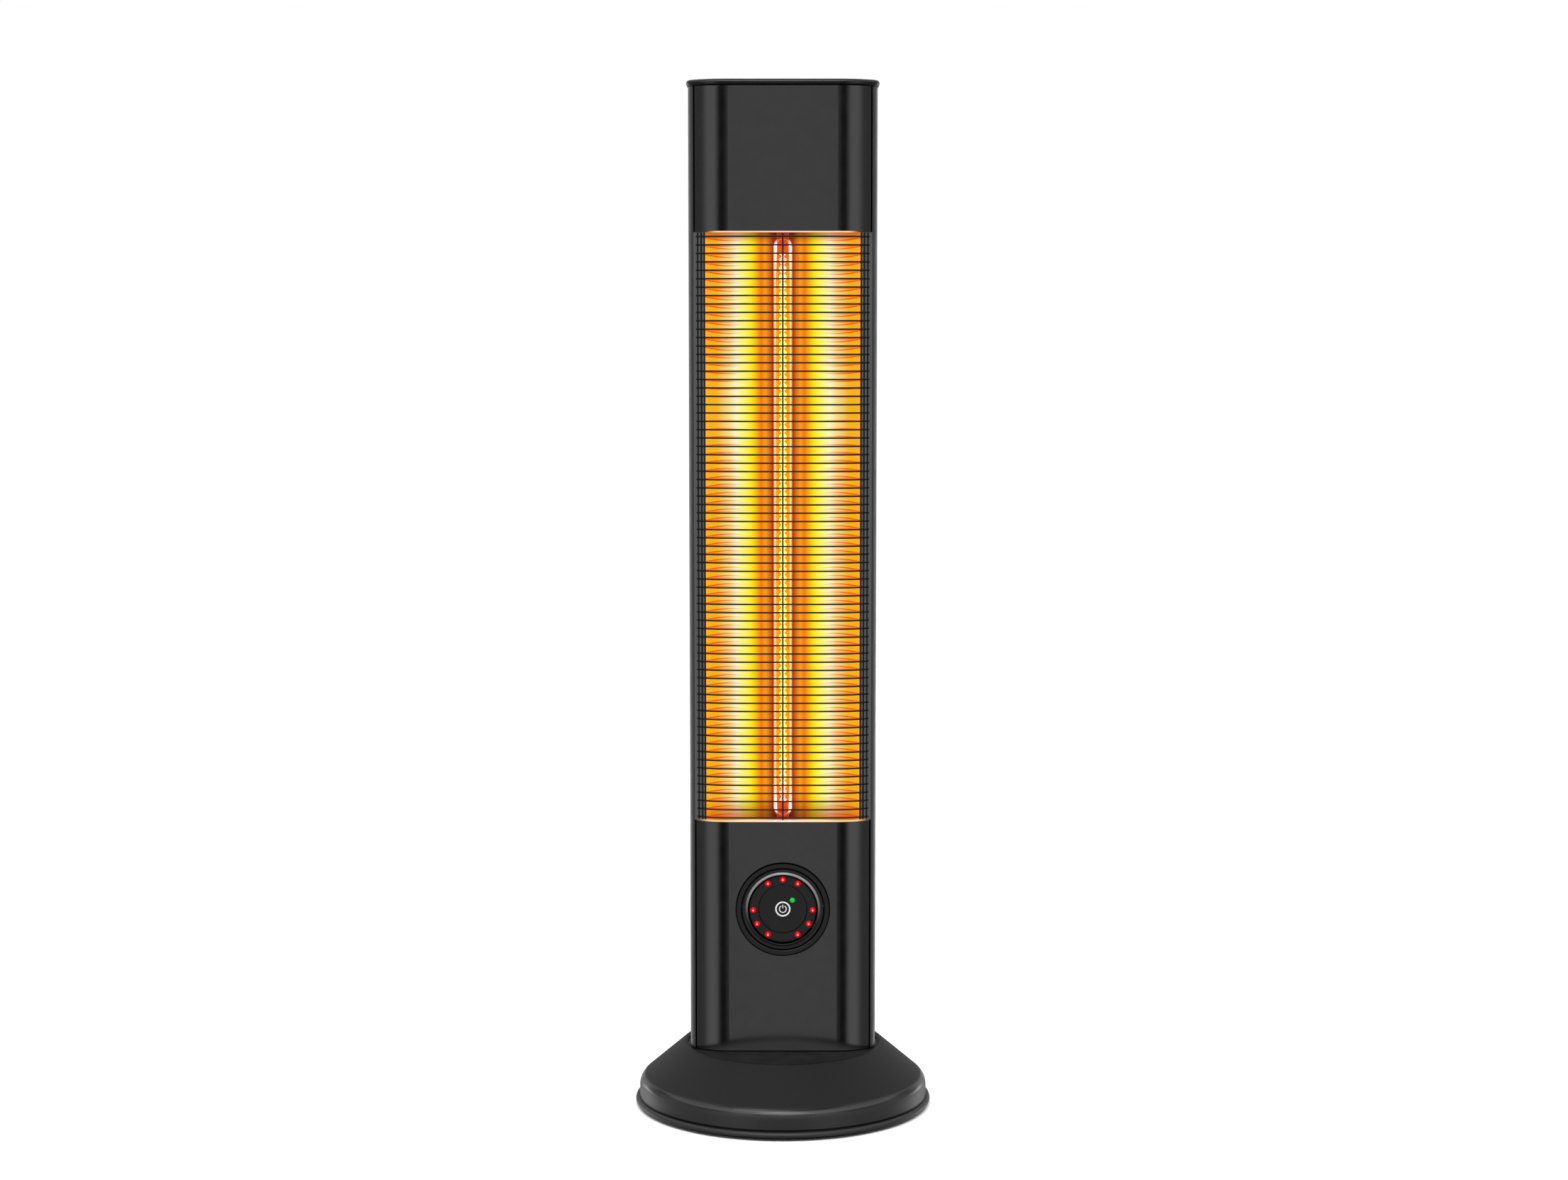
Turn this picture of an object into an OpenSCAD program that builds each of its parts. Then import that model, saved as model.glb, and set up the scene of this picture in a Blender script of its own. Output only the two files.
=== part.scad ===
// Infrared patio heater tower: a column with a carbon lamp behind a wire guard,
// which swivels on a round weighted base.
// Origin on the floor under the swivel axis, front towards -Y, +Z up, millimetres.

/* [Overall] */
// Height from the floor to the top of the lid
total_h = 790; // [760:5:860]
// Height at which the rubber feet hold the base flange off the floor
stand_h = 1.5; // [1:0.25:2.5]

/* [Base] */
// Diameter over the rolled flange of the base
base_d = 230; // [226:2:260]
// Height of the rolled flange
flange_h = 5.5; // [4:0.5:7]
// Step from the flange in to the upright wall of the base
flange_step = 3.2; // [2.5:0.1:5]
// Height of the base's rim above the floor
rim_z = 49.2; // [48.5:0.1:54]
// Wall of the moulded base
base_wall = 2.8; // [2:0.1:3.2]
// Radius of the rounded crease between wall and cone
crease_r = 10; // [6:1:14]
// Height of the crease's centre above the floor
crease_z = 15.5; // [13:0.5:18]

/* [Swivel] */
// How far the column swivels to each side, in degrees
swivel_angle = 35; // [20:1:38]
// Play between meshed teeth
backlash = 0.16; // [0.12:0.02:0.24]
// Outer radius of the hollow pivot
pivot_r = 14; // [13:0.5:15]
// Running clearance of the pivot in its bush
running_gap = 0.05; // [0.03:0.01:0.08]

/* [Column] */
// Width of the column
column_w = 143; // [138:1:150]
// Distance from the swivel axis to the flat front
front_depth = 33.5; // [32:0.5:36]
// Distance from the swivel axis to the flat back
rear_depth = 52; // [50:0.5:54]
// Radius of the wide rounding at the sides of the front covers
front_corner_r = 44; // [40:1:48]
// Radius of the tight rounding where the rear shell turns to the side
edge_r = 10.7; // [10:0.1:12]
// Radius of the back corners
rear_corner_r = 48; // [44:1:50]
// Direction of the surface at the joint between cover and shell, in degrees
parting_angle = 36; // [34:1:38]
// Width of the dark groove between cover and shell
parting_gap = 0.9; // [0.6:0.1:1.2]
// Sheet thickness of the front covers
cover_t = 1.2; // [1:0.1:1.4]
// Wall of the rear shell
shell_t = 1.5; // [1.2:0.1:1.7]

/* [Window] */
// Height of the window's lower edge above the floor
window_z = 227.9; // [220:1:240]
// Height of the cover between the window and the lid
upper_cover_h = 109; // [100:1:130]
// Distance from one horizontal guard wire to the next
wire_pitch = 6.32; // [5.6:0.08:8]
// Thickness of the guard wires
wire_d = 1.1; // [0.9:0.1:1.4]

/* [Lamp] */
// Half the width of the reflector's mouth
mouth_half = 59.3; // [56:0.5:60]
// Half the width of the flat strip behind the tube
strip_half = 17.4; // [14:0.2:20]
// Place of the reflector's back, behind the swivel axis
reflector_y = 12; // [10:0.5:14]
// Sheet thickness of the reflector
reflector_t = 0.8; // [0.6:0.1:1]
// Outer diameter of the quartz tube
tube_d = 14; // [12:0.5:16]
// Room between the quartz tube's rounded ends and the reflector's end plates
tube_end_gap = 5; // [3:0.5:8]
// Place of the tube's axis, in front of the swivel axis
tube_y = -3; // [-5:0.5:-1]

/* [Control] */
// Height of the control's centre above the floor
control_z = 159.4; // [150:1:170]
// Outer radius of the control's bezel
bezel_r = 36.3; // [35.6:0.1:38]
// Radius of the round face inside the bezel
face_r = 31.3; // [30.8:0.1:31.6]
// Radius of the power button
button_r = 18.6; // [17:0.2:19]
// Travel of the power button
button_travel = 1.2; // [0.8:0.1:1.4]
// Radius of the circle of red indicators
led_circle_r = 22.9; // [22.6:0.1:23.4]
// Diameter of a red indicator
led_d = 5; // [4:0.5:5]

/* [Hidden] */
$fn = 96;

// Overlap used where two shapes of one piece must merge
weld = 0.02;
// Gap between pieces that are fastened side by side
fit_gap = 0.2;
// Gap between faces that slide past each other
slide_gap = 0.3;

// Column section
half_w = column_w / 2;
edge_c = [half_w - edge_r,
          front_corner_r - front_depth - (front_corner_r - edge_r) * cos(parting_angle)];
front_c = [edge_c[0] - (front_corner_r - edge_r) * sin(parting_angle),
           front_corner_r - front_depth];
rear_c = [half_w - rear_corner_r, rear_depth - rear_corner_r];
column_reach = max(norm(edge_c) + edge_r, norm(rear_c) + rear_corner_r);
gap_angle = asin(parting_gap / front_corner_r);
flange_in = 6;
shell_flange_in = 8;
flange_nudge = 0.05;

// Base
base_r = base_d / 2;
wall_r = base_r - flange_step;
flange_bead_r = flange_h / 2;
turntable_r = column_reach + 0.1;
well_r = turntable_r + 0.4;
rim_bead_r = 2;
rim_c = [well_r + rim_bead_r, rim_z - rim_bead_r];
turntable_z = rim_z - 1.4;
column_z = turntable_z + 1;
turntable_t = 3;
land_h = 2.1;
slide_ring_t = 2.5;
well_floor_top = turntable_z - turntable_t - land_h - fit_gap - slide_ring_t;
well_floor_t = 2.7;
well_floor_bottom = well_floor_top - well_floor_t;
plate_z = stand_h + 0.5;
plate_t = 1.5;
plate_top = plate_z + plate_t;
plate_r = wall_r - base_wall - 0.5;
boss_r = 4.5;
boss_circle_r = round((well_r + wall_r - base_wall) / 2 + 0.4);
boss_angles = [45, 135, 225, 315];
gland_z = crease_z - 2.6;
gland_r = 5.6;
gland_neck_r = 4.5;
foot_r = 8;
ballast_h = 11;
ballast_out = boss_circle_r - 7;
ballast_in = ballast_out - 23;
ballast_screw_r = boss_circle_r - 18;
plate_vent_r = 52;
slide_in = 32;
slide_out = slide_in + 10;

// Swivel drive
gear_module = 1.25;
pinion_teeth = 16;
sector_full_teeth = 64;
pressure_angle = 20;
pinion_pitch_r = gear_module * pinion_teeth / 2;
sector_pitch_r = gear_module * sector_full_teeth / 2;
motor_y = -(pinion_pitch_r + sector_pitch_r);
tooth_pitch_angle = 360 / sector_full_teeth;
sector_teeth = 2 * ceil((swivel_angle + 10) / tooth_pitch_angle) + 1;
hub_bottom = well_floor_bottom - 2.7;
sector_top = hub_bottom - 0.4;
sector_t = 6;
sector_bottom = sector_top - sector_t;
ring_t = 1.4;
pivot_bottom = sector_bottom - ring_t - 1.2;
pivot_bore_r = pivot_r - 4;
bush_r = pivot_r + 2.5;
stop_circle_r = 27;
stop_post_r = 3;
stop_lug_half = 8;
stop_margin = 1;
stop_angle = swivel_angle + stop_lug_half + asin(stop_post_r / stop_circle_r) + stop_margin;
motor_r = 24.5;
motor_ear_half = 30;
motor_ear_top = sector_bottom - 2.6;
motor_h = motor_ear_top - plate_top - 1.5;
shaft_r = 3.5;
shaft_flat = 2.6;

// Tip-over switch
tip_xy = [-36, 22];
tip_travel = 3;
tip_rod_r = 3;
tip_guide_top = 16;
tip_room_low = 3;
tip_room_top = 13.5;
tip_collar_z = tip_room_low + tip_travel + 0.4;
tip_collar_t = 1;
tip_coil_r = 4.4;
tip_wire = 0.6;

// Terminal block in the base
terminal_xy = [11, 27];
terminal_step = 10.5;
terminal_hole_z = plate_top + 6;

// Lid
lid_h = 5;
lid_over = 1.5;
vent_rise = 0.5;
column_top = total_h - vent_rise - lid_h;
vent_count = 9;
vent_pitch = (column_w - 38) / (vent_count - 1);

// Window and guard
window_top = column_top - upper_cover_h;
window_h = window_top - window_z;
lip_depth = 3.5;
wire_in = 1.05;
post_row_in = wire_in + wire_d * 1.42;
wire_margin_low = 2.1;
wire_margin_top = 3.1;
wire_first_z = window_z + wire_margin_low;
wire_count = floor((window_h - wire_margin_low - wire_margin_top) / wire_pitch + 0.01) + 1;
wire_end_angle = parting_angle - 1.2;
side_post_angles = [25.8, 29.4, wire_end_angle - 0.9];

// Reflector and lamp
side_r = mouth_half - strip_half;
side_c = [strip_half, reflector_y - side_r];
mouth_in = 4;
mouth_angle = asin((mouth_half - 0.25 - front_c[0]) / (front_corner_r - mouth_in));
mouth_y = front_c[1] - (front_corner_r - mouth_in) * cos(mouth_angle);
mouth_start = asin((mouth_y - side_c[1]) / side_r);
trough_bottom = window_z - 6.4;
trough_top = window_top + 2;
end_plate_t = 0.8;
tube_wall = 1.3;
trough_h = trough_top - trough_bottom;
tube_mid = (trough_bottom + trough_top) / 2;
tube_len = trough_h - 2 * tube_end_gap;
pinch_w = 9;
pinch_t = 3.6;
pinch_len = 16;
end_cap_r = 8.5;
end_cap_h = 18;
filament_r = 2.1;
filament_wire = 1.1;
filament_pitch = 11;

// Rail, boards and screws at the back
spigot_in = shell_t + fit_gap;
spigot_t = 2.5;
spigot_h = 13;
rail_half = 12;
rail_foot_half = 22;
rail_t = 1.2;
rail_y = 36;
rail_back = rear_depth - shell_t - fit_gap;
rail_bottom = column_z + 15;
rail_top = column_top - spigot_h - 1;
rear_screw_x = 17;
rear_screw_z = [column_z + 7, rail_bottom + 30, tube_mid, rail_top - 30, column_top - 5];
flange_screw_z = [column_z + 22, window_z - 28, window_top + 25, column_top - 15];
board_y = 28;
board_t = 1.6;
board_half_w = 32;
board_bottom = rail_bottom + 16;
board_h = 118;
board_hole_in = 8;
relay_z = board_h * 0.61;
transformer_z = board_h * 0.29;
capacitor_z = board_h * 0.34;
driver_z = board_h * 0.56;
plug_low = 14;
plug_h = 12;
plug_depth = 11;
standoff_x = 8;
bracket_h = 30;
bracket_z = [trough_bottom + 60, tube_mid, trough_top - 60];

// Control, in its own frame: z outwards from the cover's front face
hole_gap = 0.2;
neck_t = 1.2;
neck_r = face_r + hole_gap + neck_t;
ring_crest_r = face_r - 2.3;
ring_crest_bead = 1.6;
dish_r = ring_crest_r - ring_crest_bead;
dish_z = -0.6;
face_t = 2;
cup_r = button_r + slide_gap;
cup_wall = 1.2;
cup_floor = -8;
cup_floor_t = 1.5;
stem_r = 3;
button_top = dish_z;
button_t = 2.4;
coil_r = 5;
coil_wire = 0.5;
control_board_z = -15;
stem_end = control_board_z + 2.1 + button_travel + 0.1;
green_xy = [7.3, 6.9];
green_r = 2.1;
led_angles = [0, 30, -30, 92, -92, 120, -120, 150, -150];
post_angles = [60, -60, 180];
post_circle_r = 25.2;

// Plan shapes

// A slice of a disc between two angles that lie less than 180 degrees apart
module pie(c, r, a0, a1) {
    mid_a = (a0 + a1) / 2;
    far = 2 * r / cos((a1 - a0) / 2);
    translate(c)
        intersection() {
            circle(r);
            polygon([[0, 0], 2 * r * [cos(a0), sin(a0)], far * [cos(mid_a), sin(mid_a)],
                     2 * r * [cos(a1), sin(a1)]]);
        }
}

// A bent strip of sheet: a ring between two angles
module bend(c, r_out, r_in, a0, a1) {
    mid_a = (a0 + a1) / 2;
    far = 2 * r_out / cos((a1 - a0) / 2);
    translate(c)
        intersection() {
            difference() {
                circle(r_out);
                circle(r_in);
            }
            polygon([[0, 0], 2 * r_out * [cos(a0), sin(a0)], far * [cos(mid_a), sin(mid_a)],
                     2 * r_out * [cos(a1), sin(a1)]]);
        }
}

module both_sides() {
    children();
    mirror([1, 0]) children();
}

// Filled column section, drawn in by an inset
module plan_fill(inset = 0) {
    half = half_w - inset;
    both_sides() {
        pie(front_c, front_corner_r - inset, -90, -90 + parting_angle);
        pie(edge_c, edge_r - inset, -90 + parting_angle, 0);
        pie(rear_c, rear_corner_r - inset, 0, 90);
        polygon([
            [0, inset - front_depth],
            [front_c[0], inset - front_depth],
            front_c,
            front_c + (front_corner_r - inset) * [sin(parting_angle), -cos(parting_angle)],
            edge_c,
            [half, edge_c[1]],
            [half, rear_c[1]],
            rear_c,
            [rear_c[0], rear_depth - inset],
            [0, rear_depth - inset]
        ]);
    }
}

// Sheet section of a front cover, between two insets
module cover_strip(in0, in1, end_angle) {
    both_sides() {
        translate([-weld, in0 - front_depth]) square([front_c[0] + weld, in1 - in0]);
        bend(front_c, front_corner_r - in0, front_corner_r - in1, -90, -90 + end_angle);
    }
}

module cover_section() {
    cover_strip(0, cover_t, parting_angle - gap_angle);
    both_sides()
        translate(front_c)
            rotate(parting_angle - gap_angle)
                translate([-cover_t, weld - front_corner_r])
                    square([cover_t, flange_in]);
}

module shell_section() {
    both_sides() {
        bend(edge_c, edge_r, edge_r - shell_t, -90 + parting_angle, 0);
        translate(edge_c)
            rotate(parting_angle)
                translate([flange_nudge, weld - edge_r])
                    square([shell_t, shell_flange_in]);
        translate([half_w - shell_t, edge_c[1]]) square([shell_t, rear_c[1] - edge_c[1]]);
        bend(rear_c, rear_corner_r, rear_corner_r - shell_t, 0, 90);
        translate([-weld, rear_depth - shell_t]) square([rear_c[0] + weld, shell_t]);
    }
}

// Front and back pieces of a wall that plugs into the column's end
module spigot_section() {
    intersection() {
        difference() {
            plan_fill(spigot_in);
            plan_fill(spigot_in + spigot_t);
        }
        union() {
            translate([-front_c[0], -front_depth]) square([2 * front_c[0], 12]);
            translate([-half_w, 0]) square([column_w, rear_depth]);
        }
    }
}

// Fasteners

module pan_screw(head_r, head_h, shank_r, length) {
    difference() {
        union() {
            cylinder(r = head_r, h = head_h);
            translate([0, 0, -length]) cylinder(r = shank_r, h = length + weld);
        }
        translate([0, 0, head_h / 2]) {
            translate([-head_r * 0.62, -0.35, 0]) cube([head_r * 1.24, 0.7, head_h]);
            translate([-0.35, -head_r * 0.62, 0]) cube([0.7, head_r * 1.24, head_h]);
        }
    }
}

// Point on a smooth curve through four points, at t between the middle two
function smooth(a, b, c, d, t) = 0.5 * (2 * b + (c - a) * t + (2 * a - 5 * b + 4 * c - d) * t * t
    + (3 * b - a - 3 * c + d) * t * t * t);

// An insulated wire: one tube swept along a smooth curve through the points of its path
module lead(path, r, sides = 6, steps = 4) {
    n = len(path);
    full = concat([path[0]], path, [path[n - 1]]);
    curve = concat(
        [for (i = [0 : n - 2], k = [0 : steps - 1])
            smooth(full[i], full[i + 1], full[i + 2], full[i + 3], k / steps)],
        [path[n - 1]]
    );
    last = len(curve) - 1;
    along = [for (i = [0 : last]) curve[min(i + 1, last)] - curve[max(i - 1, 0)]];
    points = [
        for (i = [0 : last])
            let (d = along[i] / norm(along[i]),
                 side = cross(d, [0.31, 0.95, 0.05]),
                 u = side / norm(side),
                 v = cross(u, d))
                for (k = [0 : sides - 1])
                    curve[i] + r * (cos(360 * k / sides) * u + sin(360 * k / sides) * v)
    ];
    tube(points, sides, last);
}

// Closed tube over rings of points
module tube(points, sides, last) {
    polyhedron(points, concat(
        [[for (k = [sides - 1 : -1 : 0]) k]],
        [for (i = [0 : last - 1], k = [0 : sides - 1])
            let (a = i * sides + k, b = i * sides + (k + 1) % sides)
                [a, b, a + sides]],
        [for (i = [0 : last - 1], k = [0 : sides - 1])
            let (a = i * sides + k, b = i * sides + (k + 1) % sides)
                [b, b + sides, a + sides]],
        [[for (k = [0 : sides - 1]) last * sides + k]]
    ));
}

// A coil spring as one unbroken tube: rings of points swept along a helix
module coil(radius, wire_r, height, turns, ring_sides = 6, rings_per_turn = 12) {
    steps = turns * rings_per_turn;
    centre = [for (i = [0 : steps])
                 let (a = 360 * i / rings_per_turn)
                     [radius * cos(a), radius * sin(a), height * i / steps]];
    least_gap = min([for (i = [0 : steps - rings_per_turn])
                        norm(centre[i + rings_per_turn] - centre[i])]) - 2 * wire_r;
    echo(least_gap_between_turns = least_gap);
    points = [
        for (i = [0 : steps])
            let (a = 360 * i / rings_per_turn, z = height * i / steps)
                for (k = [0 : ring_sides - 1])
                    let (b = 360 * k / ring_sides, rr = radius + wire_r * cos(b))
                        [rr * cos(a), rr * sin(a), z + wire_r * sin(b)]
    ];
    tube(points, ring_sides, steps);
}

// Gear teeth

function involute(r, roll) = r * [cos(roll) + roll * PI / 180 * sin(roll),
                                  sin(roll) - roll * PI / 180 * cos(roll)];
function turn(p, a) = [p[0] * cos(a) - p[1] * sin(a), p[0] * sin(a) + p[1] * cos(a)];
function roll_to(base, r) = sqrt(max(0, pow(r / base, 2) - 1)) * 180 / PI;
function pitch_half(teeth) = 90 / teeth - backlash / 2 / (gear_module * teeth / 2) * 90 / PI
    + (tan(pressure_angle) * 180 / PI - pressure_angle);

// Outline of one tooth that points along +X, from one root to the other
function tooth(teeth, flank_steps = 4) =
    let (pitch = gear_module * teeth / 2,
         base = pitch * cos(pressure_angle),
         tip = pitch + gear_module * 0.94,
         root = pitch - gear_module * 1.25,
         low = max(base, root),
         half = pitch_half(teeth),
         r0 = roll_to(base, low),
         r1 = roll_to(base, tip),
         flank = [for (i = [0 : flank_steps])
                     turn(involute(base, r0 + (r1 - r0) * i / flank_steps), -half)])
    concat(
        [root * [cos(half), -sin(half)]],
        flank,
        [for (i = [flank_steps : -1 : 0]) [flank[i][0], -flank[i][1]]],
        [root * [cos(half), sin(half)]]
    );

// Base body

// Section under the outside of the base, drawn in by an inset, down to a level
module base_profile(inset, low) {
    c = [wall_r - crease_r, crease_z];
    p = rim_c + [0.6, 0];
    reach = rim_bead_r - inset;
    tangent = atan2(p[1] - c[1], p[0] - c[0]) - acos((crease_r - rim_bead_r) / norm(p - c));
    n = [cos(tangent), sin(tangent)];
    pie(c, crease_r - inset, -4, tangent + 4);
    polygon([
        [well_r, low],
        [wall_r - inset, low],
        [wall_r - inset, crease_z],
        c,
        c + (crease_r - inset) * n,
        p + reach * n,
        [well_r, p[1] + reach * n[1]]
    ]);
}

module base_shell_section() {
    difference() {
        base_profile(0, stand_h);
        difference() {
            base_profile(base_wall, stand_h - 1);
            translate([0, stand_h - 2]) square([well_r + base_wall, rim_z]);
        }
        translate([0, stand_h - 1]) square([well_r + base_wall + weld, well_floor_bottom - stand_h + 1]);
    }
    translate(rim_c) circle(rim_bead_r, $fn = 48);
    translate([well_r, well_floor_bottom]) square([base_wall, rim_c[1] - well_floor_bottom]);
    translate([bush_r, well_floor_bottom]) square([well_r - bush_r + weld, well_floor_t]);
    translate([bush_r, hub_bottom]) square([3.5, well_floor_bottom - hub_bottom + weld]);
    translate([wall_r - base_wall, stand_h]) square([flange_step + base_wall - flange_bead_r, flange_h]);
    translate([base_r - flange_bead_r, stand_h + flange_bead_r]) circle(flange_bead_r, $fn = 48);
}

module boss_places() {
    for (a = boss_angles)
        rotate(a) translate([boss_circle_r, 0, 0]) children();
}

module base_shell() {
    color("#242424")
        difference() {
            union() {
                rotate_extrude() base_shell_section();
                intersection() {
                    boss_places() translate([0, 0, plate_top]) cylinder(r = boss_r, h = rim_z);
                    rotate_extrude() base_profile(base_wall / 2, stand_h);
                }
                for (s = [-1, 1])
                    translate([s * motor_ear_half, motor_y, motor_ear_top])
                        cylinder(r = boss_r, h = well_floor_bottom - motor_ear_top + weld);
                for (s = [-1, 1])
                    rotate(90 + s * stop_angle)
                        translate([stop_circle_r, 0, sector_bottom])
                            cylinder(r = stop_post_r, h = well_floor_bottom - sector_bottom + weld);
            }
            boss_places() translate([0, 0, plate_top - 1]) cylinder(r = 1.3, h = 13);
            for (s = [-1, 1])
                translate([s * motor_ear_half, motor_y, motor_ear_top - 1]) cylinder(r = 1.3, h = 9);
            translate([0, wall_r - 10, gland_z])
                rotate([-90, 0, 0]) cylinder(r = gland_neck_r + fit_gap, h = 20);
        }
}

module foot_places() {
    for (a = [0 : 90 : 270]) rotate(a) translate([boss_circle_r, 0, 0]) children();
}

module base_plate() {
    color("#3a3a3a")
        difference() {
            translate([0, 0, plate_z]) cylinder(r = plate_r, h = plate_t);
            boss_places() cylinder(r = 1.8, h = plate_top + 1);
            foot_places() cylinder(r = 2.6, h = plate_top + 1);
            translate(tip_xy) cylinder(r = tip_rod_r + running_gap, h = plate_top + 1);
            for (a = [0 : 60 : 300])
                rotate(a)
                    translate([0, 0, -1])
                        linear_extrude(plate_top + 2)
                            bend([0, 0], plate_vent_r, plate_vent_r - 2.5, 10, 30);
        }
}

module ballast_places() {
    for (a = [-22, 22, 158, 202]) rotate(a) translate([ballast_screw_r, 0, 0]) children();
}

module ballast_weights() {
    color("#4a4d50")
        difference() {
            translate([0, 0, plate_top])
                linear_extrude(ballast_h)
                    both_sides() bend([0, 0], ballast_out, ballast_in, -48, 60);
            ballast_places() cylinder(r = 2.2, h = 60);
            foot_places() translate([0, 0, plate_top - 1]) cylinder(r = 5, h = 4);
        }
}

module base_screws() {
    color("#8a8d90") {
        boss_places()
            translate([0, 0, plate_z]) rotate([180, 0, 0]) pan_screw(3.2, 1.3, 1.25, 12);
        ballast_places()
            translate([0, 0, plate_top + ballast_h]) pan_screw(3.6, 2, 2, ballast_h);
    }
}

module rubber_feet() {
    color("#151515")
        foot_places() {
            cylinder(r = foot_r, h = plate_z);
            translate([0, 0, plate_z - weld]) cylinder(r = 2.5, h = plate_t + 0.4);
            translate([0, 0, plate_top]) cylinder(r = 3.6, h = 1.2);
        }
}

module cord_gland() {
    color("#1b1b1b")
        translate([0, wall_r, gland_z])
            rotate([-90, 0, 0])
                difference() {
                    union() {
                        translate([0, 0, -base_wall - 4.4]) cylinder(r = gland_r + 1, h = 2.4);
                        translate([0, 0, -base_wall - 2.2]) cylinder(r = gland_neck_r, h = base_wall + 2.4);
                        translate([0, 0, 0.1]) cylinder(r = gland_r, h = 2.3);
                    }
                    translate([0, 0, -12]) cylinder(r = gland_neck_r - 1.2, h = 24);
                }
}

module pivot_bush() {
    color("#e4e0d2")
        difference() {
            union() {
                translate([0, 0, hub_bottom]) cylinder(r = bush_r, h = well_floor_top - hub_bottom);
                translate([0, 0, well_floor_top]) cylinder(r = bush_r + 4, h = 1.6);
            }
            translate([0, 0, hub_bottom - 1]) cylinder(r = pivot_r + running_gap, h = 20);
        }
}

module slide_ring() {
    color("#e8e4d8")
        translate([0, 0, well_floor_top])
            difference() {
                cylinder(r = slide_out, h = slide_ring_t);
                translate([0, 0, -1]) cylinder(r = slide_in, h = slide_ring_t + 2);
                for (a = [0 : 60 : 300])
                    rotate(a)
                        translate([(slide_in + slide_out) / 2, 0, slide_ring_t - 0.8]) cylinder(r = 2, h = 2);
            }
}

module swivel_motor() {
    color("#b9bcc0")
        translate([0, motor_y, 0])
            difference() {
                union() {
                    translate([0, 0, motor_ear_top - motor_h]) cylinder(r = motor_r, h = motor_h);
                    translate([-motor_ear_half, -4.5, motor_ear_top - 1.2])
                        cube([2 * motor_ear_half, 9, 1.2]);
                    for (s = [-1, 1])
                        translate([s * motor_ear_half, 0, motor_ear_top - 1.2])
                            cylinder(r = 4.5, h = 1.2);
                    translate([0, 0, motor_ear_top - weld]) cylinder(r = 6, h = 1.2);
                }
                for (s = [-1, 1])
                    translate([s * motor_ear_half, 0, motor_ear_top - 3]) cylinder(r = 2, h = 6);
                translate([0, 0, motor_ear_top - 10]) cylinder(r = shaft_r + running_gap, h = 20);
            }
}

module motor_screws() {
    color("#8a8d90")
        for (s = [-1, 1])
            translate([s * motor_ear_half, motor_y, motor_ear_top - 1.2])
                rotate([180, 0, 0]) pan_screw(3.4, 1.8, 1.25, 8.5);
}

// Shaft with two flats
module flat_shaft(gap, length) {
    intersection() {
        cylinder(r = shaft_r + gap, h = length);
        translate([-2 * shaft_r, -shaft_flat - gap, -1])
            cube([4 * shaft_r, 2 * (shaft_flat + gap), length + 2]);
    }
}

module motor_shaft() {
    color("#d0d2d4")
        translate([0, motor_y, 0]) {
            translate([0, 0, motor_ear_top - 9]) cylinder(r = shaft_r, h = 10.1);
            translate([0, 0, motor_ear_top + 1.1 - weld])
                flat_shaft(0, sector_top - motor_ear_top - 0.7);
        }
}

module drive_pinion() {
    space_up = 90 - 180 / pinion_teeth;
    color("#d9d4c4")
        translate([0, motor_y, sector_bottom - 0.5])
            difference() {
                union() {
                    linear_extrude(sector_t + 0.8)
                        polygon([for (i = [0 : pinion_teeth - 1])
                                    for (p = tooth(pinion_teeth))
                                        turn(p, space_up + 360 * i / pinion_teeth)]);
                    translate([0, 0, -0.9]) cylinder(r = 6.2, h = 1);
                }
                translate([0, 0, -2]) flat_shaft(0.03, 12);
            }
}

module tip_switch() {
    color("#2b2b30")
        translate([tip_xy[0], tip_xy[1], plate_top])
            difference() {
                union() {
                    translate([-9, -7, 0]) cube([18, 14, tip_guide_top]);
                    translate([-9, 7 - weld, 3]) cube([18, 7, 12]);
                    translate([-15, -7, 0]) cube([30, 14, 1.6]);
                }
                translate([0, 0, -1]) cylinder(r = tip_rod_r + running_gap, h = 30);
                translate([0, 0, tip_room_low])
                    cylinder(r = tip_coil_r + tip_wire + 0.4, h = tip_room_top - tip_room_low);
            }
}

module tip_plunger() {
    color("#c9c4b4")
        translate([tip_xy[0], tip_xy[1], 0]) {
            cylinder(r = tip_rod_r, h = plate_top + tip_guide_top + 1.5);
            translate([0, 0, plate_top + tip_collar_z])
                cylinder(r = tip_coil_r + tip_wire, h = tip_collar_t);
        }
}

module tip_spring() {
    low = plate_top + tip_collar_z + tip_collar_t + tip_wire / 2 + 0.05;
    high = plate_top + tip_room_top - tip_wire / 2 - 0.05;
    color("#c0c3c6")
        translate([tip_xy[0], tip_xy[1], low]) coil(tip_coil_r, tip_wire / 2, high - low, 4);
}

module terminal_block() {
    color("#e2ddcc")
        translate([terminal_xy[0], terminal_xy[1], plate_top])
            difference() {
                union() {
                    cube([32, 16, 9]);
                    for (i = [0 : 2]) translate([1 + terminal_step * i, 2, 9 - weld]) cube([9, 12, 5]);
                }
                for (i = [0 : 2], y = [4, 12])
                    translate([5.5 + terminal_step * i, y, 8]) cylinder(r = 1.7, h = 8);
                for (i = [0 : 2])
                    translate([5.5 + terminal_step * i, -1, terminal_hole_z - plate_top])
                        rotate([-90, 0, 0]) cylinder(r = 1.8, h = 20);
            }
}

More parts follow.
